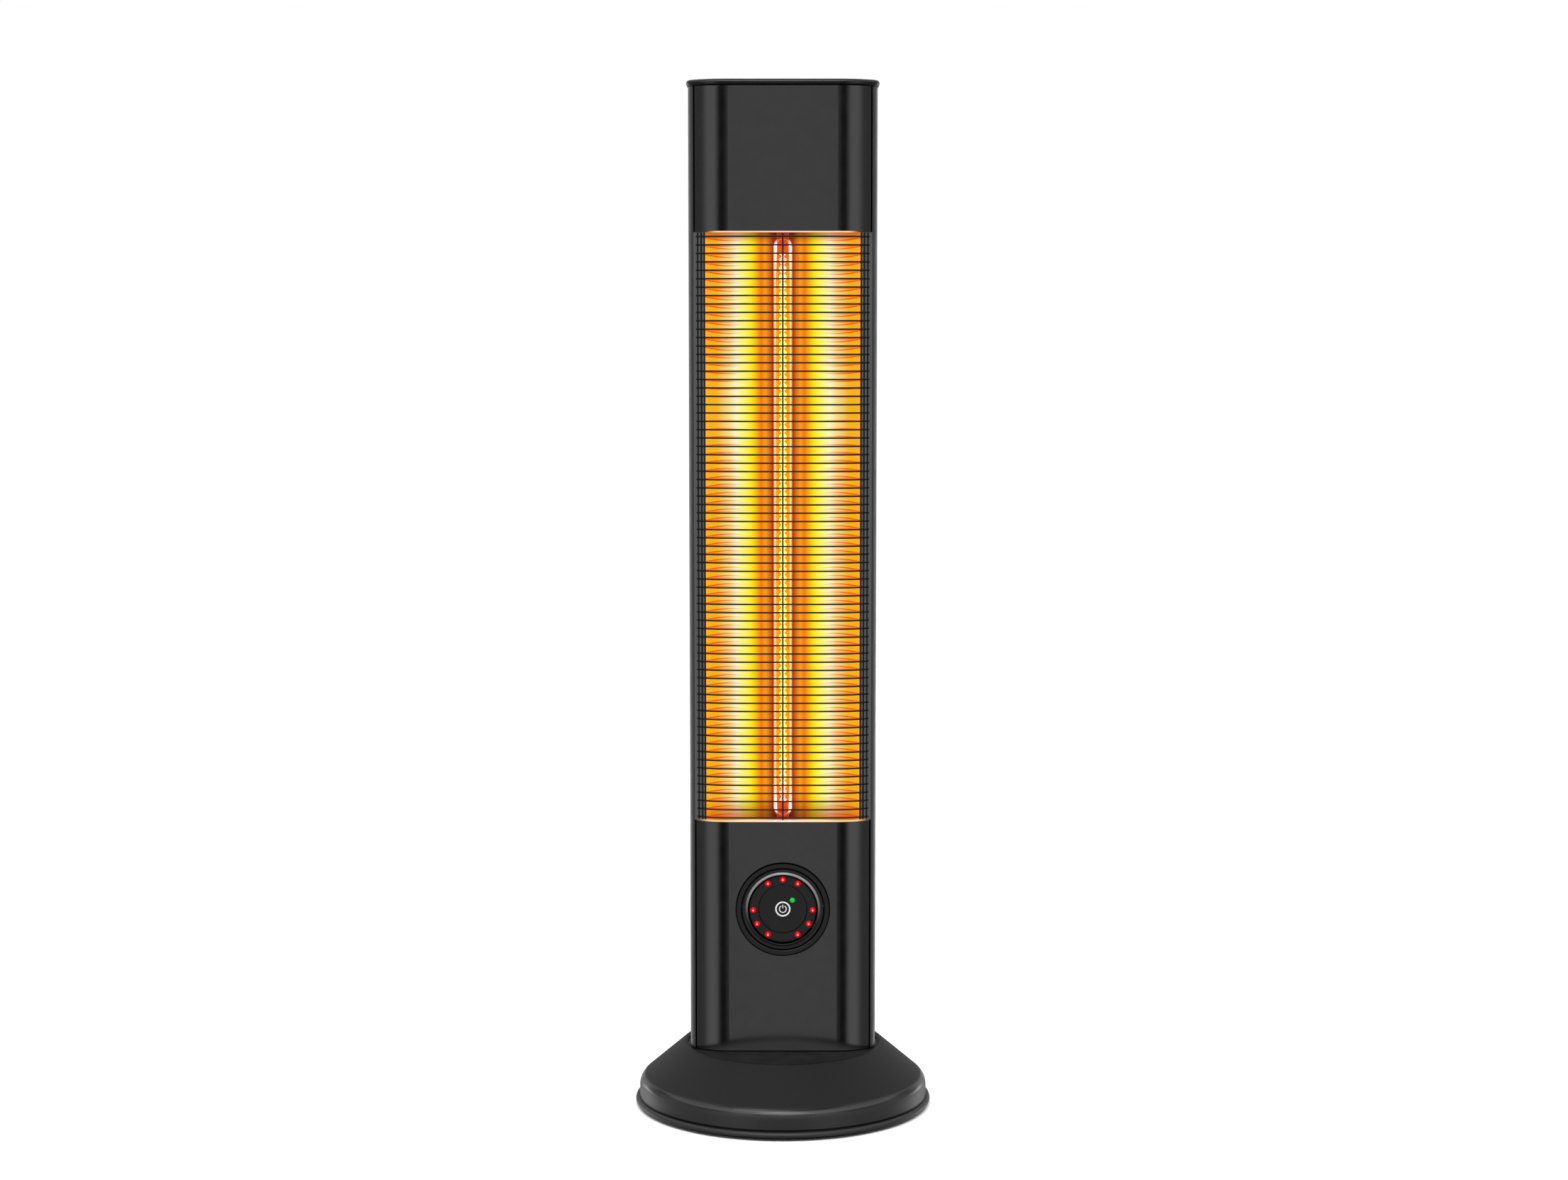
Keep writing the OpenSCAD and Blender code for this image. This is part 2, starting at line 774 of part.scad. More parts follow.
module base_wiring() {
    first_x = terminal_xy[0] + 5.5;
    second_x = first_x + terminal_step;
    color("#7a2f22")
        lead([[0, 0, pivot_bottom - 2.5], [0, 1, plate_top + 9], [first_x - 6, 12, terminal_hole_z],
              [first_x, terminal_xy[1] - 4, terminal_hole_z],
              [first_x, terminal_xy[1] - 0.1, terminal_hole_z]], 1.5);
    color("#1f1f1f")
        lead([[0, wall_r - base_wall - 4.5, gland_z], [0, wall_r - base_wall - 12, gland_z],
              [8, 70, terminal_hole_z], [second_x, terminal_xy[1] + 22, terminal_hole_z],
              [second_x, terminal_xy[1] + 16.1, terminal_hole_z]], 1.6);
}

// Column body

module turntable() {
    color("#1e1e1e") {
        difference() {
            union() {
                rotate_extrude() {
                    translate([pivot_bore_r, turntable_z - turntable_t])
                        square([turntable_r - pivot_bore_r, turntable_t]);
                    translate([turntable_r - 2.5, turntable_z - turntable_t - 3])
                        square([2.5, 3 + weld]);
                    translate([slide_in, turntable_z - turntable_t - land_h])
                        square([slide_out - slide_in, land_h + weld]);
                    translate([pivot_bore_r, pivot_bottom])
                        square([pivot_r - pivot_bore_r, turntable_z - turntable_t - pivot_bottom + weld]);
                }
                translate([0, 0, turntable_z - weld]) linear_extrude(spigot_h) spigot_section();
            }
            rear_screw_holes([rear_screw_z[0]], 1.3);
            translate([0, 0, pivot_bottom + 1]) groove(pivot_r, ring_t + 0.1);
        }
    }
}

// Ring-shaped groove around the pivot
module groove(r, h) {
    difference() {
        cylinder(r = r + 1, h = h);
        translate([0, 0, -1]) cylinder(r = r - 1.2, h = h + 2);
    }
}

module retaining_ring() {
    color("#9a9da0")
        translate([0, 0, pivot_bottom + 1.05])
            difference() {
                cylinder(r = pivot_r + 3, h = ring_t);
                translate([0, 0, -1]) cylinder(r = pivot_r - 1.1, h = ring_t + 2);
                translate([-3, 0, -1]) cube([6, 30, ring_t + 2]);
            }
}

module sector_gear() {
    first = -(sector_teeth - 1) / 2;
    edge = (sector_teeth / 2) * tooth_pitch_angle;
    root = sector_pitch_r - gear_module * 1.25;
    color("#e0dccb")
        translate([0, 0, sector_bottom])
            difference() {
                union() {
                    linear_extrude(sector_t)
                        polygon(concat(
                            [[0, 0], turn([root, 0], -90 - edge)],
                            [for (i = [first : -first])
                                for (p = tooth(sector_full_teeth))
                                    turn(p, -90 + tooth_pitch_angle * i)],
                            [turn([root, 0], -90 + edge)]
                        ));
                    cylinder(r = pivot_r + 5, h = sector_t);
                    linear_extrude(sector_t)
                        bend([0, 0], stop_circle_r + 3, pivot_r + 2, 90 - stop_lug_half, 90 + stop_lug_half);
                }
                translate([0, 0, -1]) cylinder(r = pivot_r + 0.02, h = sector_t + 2);
                for (a = [-35 : 23.33 : 35])
                    rotate(-90 + a) translate([27.5, 0, -1]) cylinder(r = 4, h = sector_t + 2);
            }
}

module rear_screw_holes(levels, r) {
    for (z = levels, s = [-1, 1])
        translate([s * rear_screw_x, rear_depth - 12, z]) rotate([-90, 0, 0]) cylinder(r = r, h = 20);
}

// Slot with round ends, lying along X
module slot_outline(length, height) {
    square([length - height, height], center = true);
    for (s = [-1, 1]) translate([s * (length - height) / 2, 0]) circle(height / 2, $fn = 24);
}

module vent_field(z, rows) {
    for (i = [0 : rows - 1], s = [-1, 1])
        translate([s * (half_w - 30), z + 7 * i]) slot_outline(26, 3.2);
}

module rear_shell() {
    color("#343436")
        difference() {
            translate([0, 0, column_z]) linear_extrude(column_top - column_z) shell_section();
            translate([0, rear_depth + 1, 0])
                rotate([90, 0, 0])
                    linear_extrude(rear_depth - 8) {
                        vent_field(window_top + 20, 10);
                        vent_field(column_z + 60, 9);
                        vent_field(tube_mid - 32, 10);
                    }
            rear_screw_holes(rear_screw_z, 2);
            flange_screw_places() rotate([0, 90, 0]) translate([0, 0, -4]) cylinder(r = 1.3, h = 8);
        }
}

module upper_cover() {
    color("#2a2a2b")
        difference() {
            union() {
                translate([0, 0, window_top])
                    linear_extrude(column_top - window_top) cover_section();
                translate([0, 0, window_top])
                    linear_extrude(cover_t)
                        cover_strip(cover_t - weld, lip_depth, parting_angle - gap_angle);
            }
            flange_screw_places() rotate([0, 90, 0]) translate([0, 0, -4]) cylinder(r = 1.3, h = 8);
        }
}

module lower_cover() {
    color("#2a2a2b")
        difference() {
            union() {
                translate([0, 0, column_z]) linear_extrude(window_z - column_z) cover_section();
                translate([0, 0, window_z - cover_t])
                    linear_extrude(cover_t)
                        cover_strip(cover_t - weld, lip_depth, parting_angle - gap_angle);
            }
            on_control() translate([0, 0, -5]) cylinder(r = neck_r + hole_gap, h = 10);
            flange_screw_places() rotate([0, 90, 0]) translate([0, 0, -4]) cylinder(r = 1.3, h = 8);
        }
}

// Places in the side flanges, with X along the outline
module flange_screw_places() {
    for (z = flange_screw_z, s = [0, 1])
        mirror([s, 0, 0])
            translate([edge_c[0], edge_c[1], z])
                rotate(parting_angle)
                    translate([0, 4 - edge_r, 0])
                        children();
}

module flange_screws() {
    color("#8a8d90")
        flange_screw_places()
            translate([flange_nudge + shell_t, 0, 0])
                rotate([0, 90, 0]) pan_screw(1.7, 0.9, 1.2, shell_t + parting_gap + cover_t);
}

module rear_screws() {
    color("#1a1a1a")
        for (z = rear_screw_z, s = [-1, 1])
            translate([s * rear_screw_x, rear_depth, z]) rotate([-90, 0, 0]) pan_screw(3.3, 1.6, 1.25, 7);
}

// Points along an arc, in steps
function arc_points(c, r, a0, a1, steps) =
    [for (i = [0 : steps]) let (a = a0 + (a1 - a0) * i / steps) c + r * [cos(a), sin(a)]];

// Right half of the column's outline at an inset, from the front round to the back
function half_outline(inset) = concat(
    arc_points(front_c, front_corner_r - inset, -90, -90 + parting_angle, 6),
    [for (i = [1 : 6])
        let (a = -90 + parting_angle + (90 - parting_angle) * i / 6)
            edge_c + (edge_r - inset) * [cos(a), sin(a)]],
    arc_points(rear_c, rear_corner_r - inset, 0, 90, 12)
);

// Plate in the shape of the column with a full round edge
module lid_body() {
    core = lid_h / 2 - lid_over;
    levels = 10;
    sides = 2 * len(half_outline(0));
    points = [
        for (k = [0 : levels])
            let (b = -90 + 180 * k / levels,
                 right = half_outline(core - lid_h / 2 * cos(b)),
                 z = column_top + lid_h / 2 * (1 + sin(b)))
                for (i = [0 : sides - 1])
                    let (q = i < sides / 2 ? right[i] : right[sides - 1 - i])
                        [i < sides / 2 ? -q[0] : q[0], q[1], z]
    ];
    tube(points, sides, levels);
}

module vent_places() {
    for (i = [0 : vent_count - 1])
        translate([vent_pitch * (i - (vent_count - 1) / 2), 6, 0]) children();
}

module top_cap() {
    color("#1c1c1c")
        difference() {
            union() {
                lid_body();
                vent_places()
                    translate([0, 0, total_h - vent_rise - 1])
                        linear_extrude(vent_rise + 1) rotate(90) slot_outline(46, 5);
                translate([0, 0, column_top - spigot_h]) linear_extrude(spigot_h + weld) spigot_section();
            }
            vent_places()
                translate([0, 0, column_top - 1]) linear_extrude(lid_h + 3) rotate(90) slot_outline(43, 2.6);
            rear_screw_holes([rear_screw_z[4]], 1.3);
        }
}

module chassis_rail() {
    color("#a9acb0")
        difference() {
            translate([0, 0, rail_bottom])
                linear_extrude(rail_top - rail_bottom) {
                    translate([-rail_half, rail_y]) square([2 * rail_half, rail_t]);
                    both_sides() {
                        translate([rail_half - rail_t, rail_y]) square([rail_t, rail_back - rail_y]);
                        translate([rail_half - rail_t, rail_back - rail_t])
                            square([rail_foot_half - rail_half + rail_t, rail_t]);
                    }
                }
            rear_screw_holes([rear_screw_z[1], rear_screw_z[2], rear_screw_z[3]], 1.3);
            for (z = [board_bottom + board_hole_in, board_bottom + board_h - board_hole_in], s = [-1, 1])
                translate([s * standoff_x, rail_y - 1, z]) rotate([-90, 0, 0]) cylinder(r = 1.5, h = 4);
            for (z = bracket_z)
                translate([0, rail_y - 1, z]) rotate([-90, 0, 0]) cylinder(r = 2, h = 4);
        }
}

module trough_fill(grow) {
    both_sides() {
        pie(side_c, side_r + grow, 0, 90);
        translate([-weld, side_c[1]]) square([strip_half + weld, side_r + grow]);
    }
}

module reflector() {
    color("#d8dadc")
        translate([0, 0, trough_bottom])
            linear_extrude(trough_h)
                both_sides() {
                    translate([-weld, reflector_y]) square([strip_half + weld, reflector_t]);
                    bend(side_c, side_r + reflector_t, side_r, mouth_start, 90);
                    bend(front_c, front_corner_r - mouth_in, front_corner_r - mouth_in - reflector_t,
                         -90 + mouth_angle - 0.5, -90 + parting_angle - 5);
                }
}

module reflector_end(z) {
    translate([0, 0, z])
        linear_extrude(end_plate_t)
            difference() {
                intersection() {
                    trough_fill(reflector_t);
                    plan_fill(mouth_in + 0.3);
                }
                translate([0, tube_y]) slot_outline(pinch_w + 2, pinch_t + 2);
            }
}

module reflector_ends() {
    color("#cfd1d3") {
        reflector_end(trough_bottom - end_plate_t);
        reflector_end(trough_top);
    }
}

module reflector_brackets() {
    back = reflector_y + reflector_t;
    color("#a9acb0")
        for (z = bracket_z)
            difference() {
                translate([0, 0, z - bracket_h / 2])
                    linear_extrude(bracket_h) {
                        translate([-rail_half, back]) square([2 * rail_half, rail_t]);
                        both_sides() {
                            translate([rail_half - rail_t, back]) square([rail_t, rail_y - back]);
                            translate([rail_half - 6, rail_y - rail_t]) square([6, rail_t]);
                        }
                    }
                translate([0, back - 1, z]) rotate([-90, 0, 0]) cylinder(r = 1.5, h = 5);
            }
}

module bracket_screws() {
    color("#8a8d90")
        for (z = bracket_z)
            translate([0, reflector_y + reflector_t + rail_t, z])
                rotate([-90, 0, 0]) pan_screw(3, 1.6, 1.4, rail_t);
}

// One horizontal guard wire: straight across the front, bent round both corners
module guard_wire() {
    translate([0, 0, -wire_d / 2])
        linear_extrude(wire_d) cover_strip(wire_in, wire_in + wire_d, wire_end_angle);
}

// An upright guard wire, welded behind the horizontal ones
module guard_post(angle) {
    r = front_corner_r - post_row_in;
    translate([front_c[0] + r * sin(angle), front_c[1] - r * cos(angle), window_z + fit_gap])
        rotate(angle)
            translate([-wire_d / 2, -wire_d / 2, 0]) cube([wire_d, wire_d, window_h - 2 * fit_gap]);
}

module guard_grille() {
    color("#101010") {
        for (i = [0 : wire_count - 1])
            translate([0, 0, wire_first_z + wire_pitch * i]) guard_wire();
        translate([-wire_d / 2, post_row_in - wire_d / 2 - front_depth, window_z + fit_gap])
            cube([wire_d, wire_d, window_h - 2 * fit_gap]);
        for (a = side_post_angles, s = [0, 1]) mirror([s, 0, 0]) guard_post(a);
    }
}

// Tube with one domed end up, closed by a flat pinch
module domed_half(r, length) {
    cylinder(r = r, h = length - r);
    translate([0, 0, length - r]) sphere(r, $fn = 48);
}

module quartz_tube() {
    r = tube_d / 2;
    color("#f4f1ea", 0.4)
        translate([0, tube_y, tube_mid]) {
            difference() {
                union() {
                    for (s = [0, 1]) mirror([0, 0, s]) domed_half(r, tube_len / 2);
                    for (s = [0, 1])
                        mirror([0, 0, s])
                            translate([-pinch_w / 2, -pinch_t / 2, tube_len / 2 - 2])
                                cube([pinch_w, pinch_t, pinch_len + 2]);
                }
                for (s = [0, 1])
                    mirror([0, 0, s])
                        translate([0, 0, -weld]) domed_half(r - tube_wall, tube_len / 2 - tube_wall);
            }
        }
}

// Carbon filament wound in a long spiral, with a lead-out rod at each end
module lamp_filament() {
    length = tube_len - 24;
    turns = round(length / filament_pitch);
    reach = (tube_len - length) / 2 - tube_wall - 0.3;
    disc_t = 0.6;
    color("#ff9a2a")
        translate([0, tube_y, tube_mid - length / 2]) {
            coil(filament_r, filament_wire / 2, length, turns, 6, 8);
            for (z = [-reach, length + disc_t])
                translate([0, 0, z]) cylinder(r = 0.5, h = reach - disc_t, $fn = 24);
            for (z = [-disc_t - 0.1, length + 0.1])
                translate([0, 0, z]) cylinder(r = filament_r, h = disc_t, $fn = 24);
        }
}

module lamp_end_caps() {
    color("#ece7da")
        translate([0, tube_y, tube_mid])
            for (s = [0, 1])
                mirror([0, 0, s])
                    translate([0, 0, trough_h / 2 + end_plate_t + 1.4])
                        difference() {
                            union() {
                                cylinder(r = end_cap_r, h = end_cap_h);
                                translate([0, 0, 4]) cylinder(r = end_cap_r + 1.5, h = 2);
                                translate([0, 0, 9]) cylinder(r = end_cap_r + 1.5, h = 2);
                            }
                            translate([-pinch_w / 2 - 0.1, -pinch_t / 2 - 0.1, -1])
                                cube([pinch_w + 0.2, pinch_t + 0.2, pinch_len - 4]);
                            translate([0, 0, 8]) cylinder(r = 1.6, h = 20);
                        }
}

// Sheet clips that hold the ceramic caps to the end plates
module lamp_clips() {
    inner = end_cap_r + 0.1;
    color("#b4b7ba")
        translate([0, tube_y, tube_mid])
            for (s = [0, 1])
                mirror([0, 0, s])
                    translate([0, 0, trough_h / 2 + end_plate_t]) {
                        difference() {
                            translate([-22, -6, 0]) cube([44, 12, 1.2]);
                            translate([0, 0, -1]) linear_extrude(4) slot_outline(pinch_w + 2, pinch_t + 2);
                        }
                        for (m = [0, 1])
                            mirror([m, 0, 0])
                                translate([inner, -6, 7.6]) cube([1, 12, 2.2]);
                        for (m = [0, 1])
                            mirror([m, 0, 0]) {
                                translate([inner + 1.6, -6, 0]) cube([1, 12, 9.8]);
                                translate([inner, -6, 8.6]) cube([2.6, 12, 1.2]);
                            }
                    }
}

module thermal_cutout() {
    color("#c8bfa8")
        translate([38, -9, trough_top + end_plate_t]) {
            cylinder(r = 8, h = 5);
            translate([0, 0, 5 - weld]) cylinder(r = 6, h = 3);
            for (s = [-1, 1]) translate([s * 4 - 0.4, -3, 7]) cube([0.8, 6, 7]);
        }
}

module power_board() {
    color("#1f5a38")
        translate([-board_half_w, board_y, board_bottom])
            difference() {
                cube([2 * board_half_w, board_t, board_h]);
                for (z = [board_hole_in, board_h - board_hole_in], s = [-1, 1])
                    translate([board_half_w + s * standoff_x, -1, z])
                        rotate([-90, 0, 0]) cylinder(r = 1.5, h = 4);
            }
    color("#26364f")
        for (x = [-28, -8])
            translate([x, board_y - 15.5, board_bottom + relay_z]) cube([15.5, 15.5 + weld, 19]);
    color("#2c2c2c")
        translate([-27, board_y - 17, board_bottom + transformer_z]) cube([26, 17 + weld, 30]);
    color("#1d1d1d")
        translate([16, board_y + weld, board_bottom + capacitor_z]) rotate([90, 0, 0]) cylinder(r = 6, h = 18);
    color("#3d6ea3")
        translate([12, board_y - 9, board_bottom + driver_z]) cube([12, 9 + weld, 26]);
    color("#2c7a52")
        translate([-20, board_y - plug_depth, board_bottom + plug_low])
            cube([40, plug_depth + weld, plug_h]);
}

module board_standoffs() {
    color("#c9ccd0")
        for (z = [board_bottom + board_hole_in, board_bottom + board_h - board_hole_in], s = [-1, 1])
            translate([s * standoff_x, board_y + board_t, z])
                rotate([-90, 0, 0]) {
                    cylinder(r = 3, h = rail_y - board_y - board_t);
                    translate([0, 0, -board_t - 1]) cylinder(r = 1.4, h = board_t + 1 + weld);
                    translate([0, 0, -board_t - 1.8]) cylinder(r = 2.8, h = 1.8);
                }
}

// Control

module on_control() {
    translate([0, -front_depth, control_z]) rotate([90, 0, 0]) children();
}

// Places on the face, turned clockwise from the top
module on_face(angles, r) {
    for (a = angles) rotate(-a) translate([0, r, 0]) children();
}

module control_bezel() {
    color("#222223")
        on_control()
            rotate_extrude()
                polygon([
                    [face_r + hole_gap, -8],
                    [neck_r, -8],
                    [neck_r, 0],
                    [bezel_r, 0],
                    [bezel_r, 0.8],
                    [bezel_r - 0.6, 1.4],
                    [neck_r - 0.3, 1.4],
                    [face_r + hole_gap, 0.6]
                ]);
}

module bezel_nut() {
    color("#2c2c2c")
        on_control()
            translate([0, 0, -cover_t - 2.2])
                difference() {
                    cylinder(r = neck_r + 4.5, h = 2);
                    translate([0, 0, -1]) cylinder(r = neck_r + 0.02, h = 4);
                    for (a = [0 : 45 : 315])
                        rotate(a) translate([neck_r + 4.8, 0, -1]) cylinder(r = 1.8, h = 4);
                }
}

module control_face_section() {
    difference() {
        union() {
            translate([cup_r, dish_z - face_t]) square([dish_r - cup_r + 1.4, face_t]);
            translate([dish_r, dish_z - face_t]) square([face_r - dish_r, 0.6 - dish_z + face_t]);
            translate([ring_crest_r, 0]) circle(ring_crest_bead, $fn = 48);
        }
        translate([dish_r - ring_crest_bead - 1, dish_z])
            square([ring_crest_bead + 1 + 0.25, 4]);
    }
    translate([cup_r, cup_floor]) square([cup_wall, dish_z - cup_floor]);
    translate([stem_r + running_gap, cup_floor])
        square([cup_r + cup_wall - stem_r - running_gap, cup_floor_t]);
    translate([stem_r + running_gap, cup_floor + weld]) square([1.3, cup_floor_t + 0.6]);
}

module control_face() {
    color("#1d1d1e")
        on_control()
            difference() {
                union() {
                    rotate_extrude() control_face_section();
                    on_face(post_angles, post_circle_r)
                        translate([0, 0, control_board_z])
                            cylinder(r = 2.4, h = dish_z - 1 - control_board_z);
                }
                on_face(led_angles, led_circle_r)
                    translate([0, 0, -4]) cylinder(r = led_d / 2 + 0.08, h = 8);
                on_face(post_angles, post_circle_r)
                    translate([0, 0, control_board_z - 1]) cylinder(r = 1, h = 9);
                translate([green_xy[0], green_xy[1], cup_floor - 1]) cylinder(r = green_r + 0.1, h = 4);
            }
}

module power_button() {
    color("#1a1a1b")
        on_control()
            difference() {
                union() {
                    rotate_extrude()
                        polygon([
                            [0, button_top - button_t],
                            [button_r, button_top - button_t],
                            [button_r, button_top - 0.35],
                            [button_r - 0.35, button_top],
                            [0, button_top]
                        ]);
                    difference() {
                        translate([0, 0, stem_end])
                            cylinder(r = stem_r, h = button_top - button_t - stem_end + weld);
                        translate([0, 0, cup_floor - 1.2]) groove(stem_r, 0.9);
                    }
                }
                translate([green_xy[0], green_xy[1], -6]) cylinder(r = green_r + slide_gap, h = 8);
            }
}

module button_clip() {
    color("#a6a9ac")
        on_control()
            translate([0, 0, cup_floor - 1.15])
                difference() {
                    cylinder(r = stem_r + 2, h = 0.8);
                    translate([0, 0, -1]) cylinder(r = stem_r - 1.1, h = 3);
                    translate([-1.2, 0, -1]) cube([2.4, 8, 3]);
                }
}

module button_spring() {
    low = cup_floor + cup_floor_t + coil_wire / 2 + 0.05;
    high = button_top - button_t - coil_wire / 2 - 0.05;
    color("#c0c3c6")
        on_control() translate([0, 0, low]) coil(coil_r, coil_wire / 2, high - low, 3);
}

module control_board() {
    color("#1f5a38")
        on_control()
            translate([0, 0, control_board_z - board_t])
                difference() {
                    cylinder(r = face_r - 3, h = board_t);
                    on_face(post_angles, post_circle_r) translate([0, 0, -1]) cylinder(r = 1.2, h = 4);
                }
    color("#2d2d2d")
        on_control() {
            translate([-3, -3, control_board_z - weld]) cube([6, 6, 1.6]);
            translate([0, 0, control_board_z + 1.5]) cylinder(r = 1.6, h = 0.6);
            translate([-8, -20, control_board_z - board_t - 6]) cube([16, 6, 6 + weld]);
        }
}

module board_screws() {
    color("#8a8d90")
        on_control()
            on_face(post_angles, post_circle_r)
                translate([0, 0, control_board_z - board_t]) rotate([180, 0, 0]) pan_screw(2.2, 1.3, 0.95, 7);
}

module indicator(r, flange_z) {
    translate([0, 0, flange_z]) cylinder(r = r, h = dish_z - 0.4 - flange_z);
    translate([0, 0, dish_z - 0.4]) sphere(r, $fn = 48);
    for (s = [-1, 1])
        translate([s * 1.2, 0, control_board_z])
            cylinder(r = 0.25, h = flange_z - control_board_z + weld, $fn = 24);
}

module red_indicators() {
    color("#e0101c")
        on_control() on_face(led_angles, led_circle_r) indicator(led_d / 2, dish_z - 6.5);
}

module green_indicator() {
    color("#27e04a")
        on_control() translate([green_xy[0], green_xy[1], 0]) indicator(green_r, dish_z - 8.5);
}

module column_wiring() {
    plug_y = board_y - plug_depth - 0.5;
    plug_z = board_bottom + plug_low + plug_h / 2;
    cap_in = trough_h / 2 + end_plate_t + 14;
    side_x = -38;
    color("#7a2f22") {
        lead([[0, 0, pivot_bottom - 2], [0, 0, rail_bottom - 4], [0, 4, plug_z - 12],
              [0, plug_y - 5, plug_z], [0, plug_y, plug_z]], 1.5);
        lead([[12, plug_y, plug_z], [12, plug_y - 5, plug_z], [14, 4, plug_z + 14],
              [12, 2, plug_z + 60], [4, tube_y + 1, tube_mid - cap_in - 30],
              [0, tube_y, tube_mid - cap_in - 16], [0, tube_y, tube_mid - cap_in - 8],
              [0, tube_y, tube_mid - cap_in]], 1.2);
    }
    color("#c9c4b4")
        lead([[-12, plug_y, plug_z], [-12, plug_y - 5, plug_z], [-24, 5, plug_z + 5],
              [side_x, 10, plug_z + 26], [side_x, 20, trough_bottom - 20],
              [-30, board_y, trough_bottom + 30], [-30, board_y, trough_top - 20],
              [-28, 14, trough_top + 26], [-8, tube_y + 3, tube_mid + cap_in + 30],
              [0, tube_y, tube_mid + cap_in + 16], [0, tube_y, tube_mid + cap_in + 8],
              [0, tube_y, tube_mid + cap_in]], 1.2);
    color("#d8d4c8")
        lead([[0, -front_depth - control_board_z + board_t + 6.6, control_z - 17],
              [0, -front_depth - control_board_z + board_t + 10, control_z - 17],
              [2, 2, control_z - 22], [6, plug_y - 9, plug_z + 6],
              [6, plug_y - 4, plug_z], [6, plug_y, plug_z]], 1.5);
}

base_shell();
base_plate();
ballast_weights();
base_screws();
rubber_feet();
cord_gland();
pivot_bush();
slide_ring();
swivel_motor();
motor_screws();
tip_switch();
terminal_block();
base_wiring();
drive_pinion();
motor_shaft();
tip_plunger();
tip_spring();
turntable();
sector_gear();
retaining_ring();
rear_shell();
upper_cover();
lower_cover();
flange_screws();
rear_screws();
top_cap();
chassis_rail();
reflector();
reflector_ends();
reflector_brackets();
bracket_screws();
guard_grille();
quartz_tube();
lamp_filament();
lamp_end_caps();
lamp_clips();
thermal_cutout();
power_board();
board_standoffs();
control_board();
control_bezel();
control_face();
bezel_nut();
board_screws();
red_indicators();
green_indicator();
column_wiring();
power_button();
button_clip();
button_spring();
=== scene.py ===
import bpy
import bmesh
import math
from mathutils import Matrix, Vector


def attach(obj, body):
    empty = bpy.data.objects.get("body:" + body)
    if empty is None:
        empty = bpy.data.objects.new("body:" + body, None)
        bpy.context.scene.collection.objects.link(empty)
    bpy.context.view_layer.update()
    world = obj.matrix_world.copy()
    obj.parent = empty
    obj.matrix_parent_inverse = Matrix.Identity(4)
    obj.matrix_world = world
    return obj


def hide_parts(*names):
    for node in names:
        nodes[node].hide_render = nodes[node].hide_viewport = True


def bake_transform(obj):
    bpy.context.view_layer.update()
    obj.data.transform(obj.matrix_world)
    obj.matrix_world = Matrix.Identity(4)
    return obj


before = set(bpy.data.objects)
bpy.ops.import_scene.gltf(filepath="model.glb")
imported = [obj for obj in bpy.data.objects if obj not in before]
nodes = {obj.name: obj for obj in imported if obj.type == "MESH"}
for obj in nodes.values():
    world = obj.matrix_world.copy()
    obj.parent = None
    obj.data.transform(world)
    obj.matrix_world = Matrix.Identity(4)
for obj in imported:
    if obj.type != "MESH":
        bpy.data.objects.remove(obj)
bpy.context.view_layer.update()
mm = 0.001
controlHeight = 159.4  # millimetres up to the middle of the round control
lampDepth = -3.0  # where the lamp's axis stands along Y, in millimetres

# The camera stands where the photograph was taken from, level with the lamp's upper part
cameraSet = {"place": (0.0009, -2.196, 0.6065), "tiltDown": 5.31, "lens": 65.6, "sensor": 36}

cameraData = bpy.data.cameras.new("studioCamera")
camera = bpy.data.objects.new("studioCamera", cameraData)
bpy.context.scene.collection.objects.link(camera)
cameraData.lens = cameraSet["lens"]
cameraData.sensor_width = cameraSet["sensor"]
camera.location = cameraSet["place"]
camera.rotation_euler = (math.radians(90 - cameraSet["tiltDown"]), 0, 0)
bpy.context.scene.camera = camera
bpy.context.scene.view_settings.view_transform = "Standard"


def linkUp(tree, source, target):
    tree.links.new(source, target)


def setOrLink(tree, socket, value):
    if isinstance(value, bpy.types.NodeSocket):
        linkUp(tree, value, socket)
    elif isinstance(value, (int, float)):
        socket.default_value = value
    else:
        socket.default_value = value if len(value) == 4 else (*value, 1)


# One node with its inputs set or linked, and the output that goes on from it
def addNode(tree, kind, inputs=None, output=0):
    node = tree.nodes.new(kind)
    for label, value in (inputs or {}).items():
        setOrLink(tree, node.inputs[label], value)
    return node.outputs[output]


def calc(tree, operation, *values, clamp=False):
    node = tree.nodes.new("ShaderNodeMath")
    node.operation = operation
    node.use_clamp = clamp
    for index, value in enumerate(values):
        setOrLink(tree, node.inputs[index], value)
    return node.outputs[0]


def remap(tree, value, fromMin, fromMax, toMin, toMax, smooth=False):
    node = tree.nodes.new("ShaderNodeMapRange")
    if smooth:
        node.interpolation_type = "SMOOTHSTEP"
    for socket, amount in zip(node.inputs[:5], (value, fromMin, fromMax, toMin, toMax)):
        setOrLink(tree, socket, amount)
    return node.outputs[0]


# Rises from 0 to 1 and falls back again
def softBand(tree, value, riseFrom, riseTo, fallFrom, fallTo):
    return calc(tree, "MULTIPLY", remap(tree, value, riseFrom, riseTo, 0, 1, True),
                remap(tree, value, fallFrom, fallTo, 1, 0, True))


def grey(value):
    return (value, value, value, 1)


def screenColour(red, green, blue):
    return tuple(((c / 255 + 0.055) / 1.055) ** 2.4 if c > 10 else c / 255 / 12.92 for c in (red, green, blue))


def ramp(tree, factor, stops, interpolation="LINEAR"):
    node = tree.nodes.new("ShaderNodeValToRGB")
    band = node.color_ramp
    band.interpolation = interpolation
    for index, (position, colour) in enumerate(stops):
        if index < 2:
            element = band.elements[index]
            element.position = position
        else:
            element = band.elements.new(position)
        element.color = colour if len(colour) == 4 else (*colour, 1)
    linkUp(tree, factor, node.inputs["Fac"])
    return node.outputs["Color"]


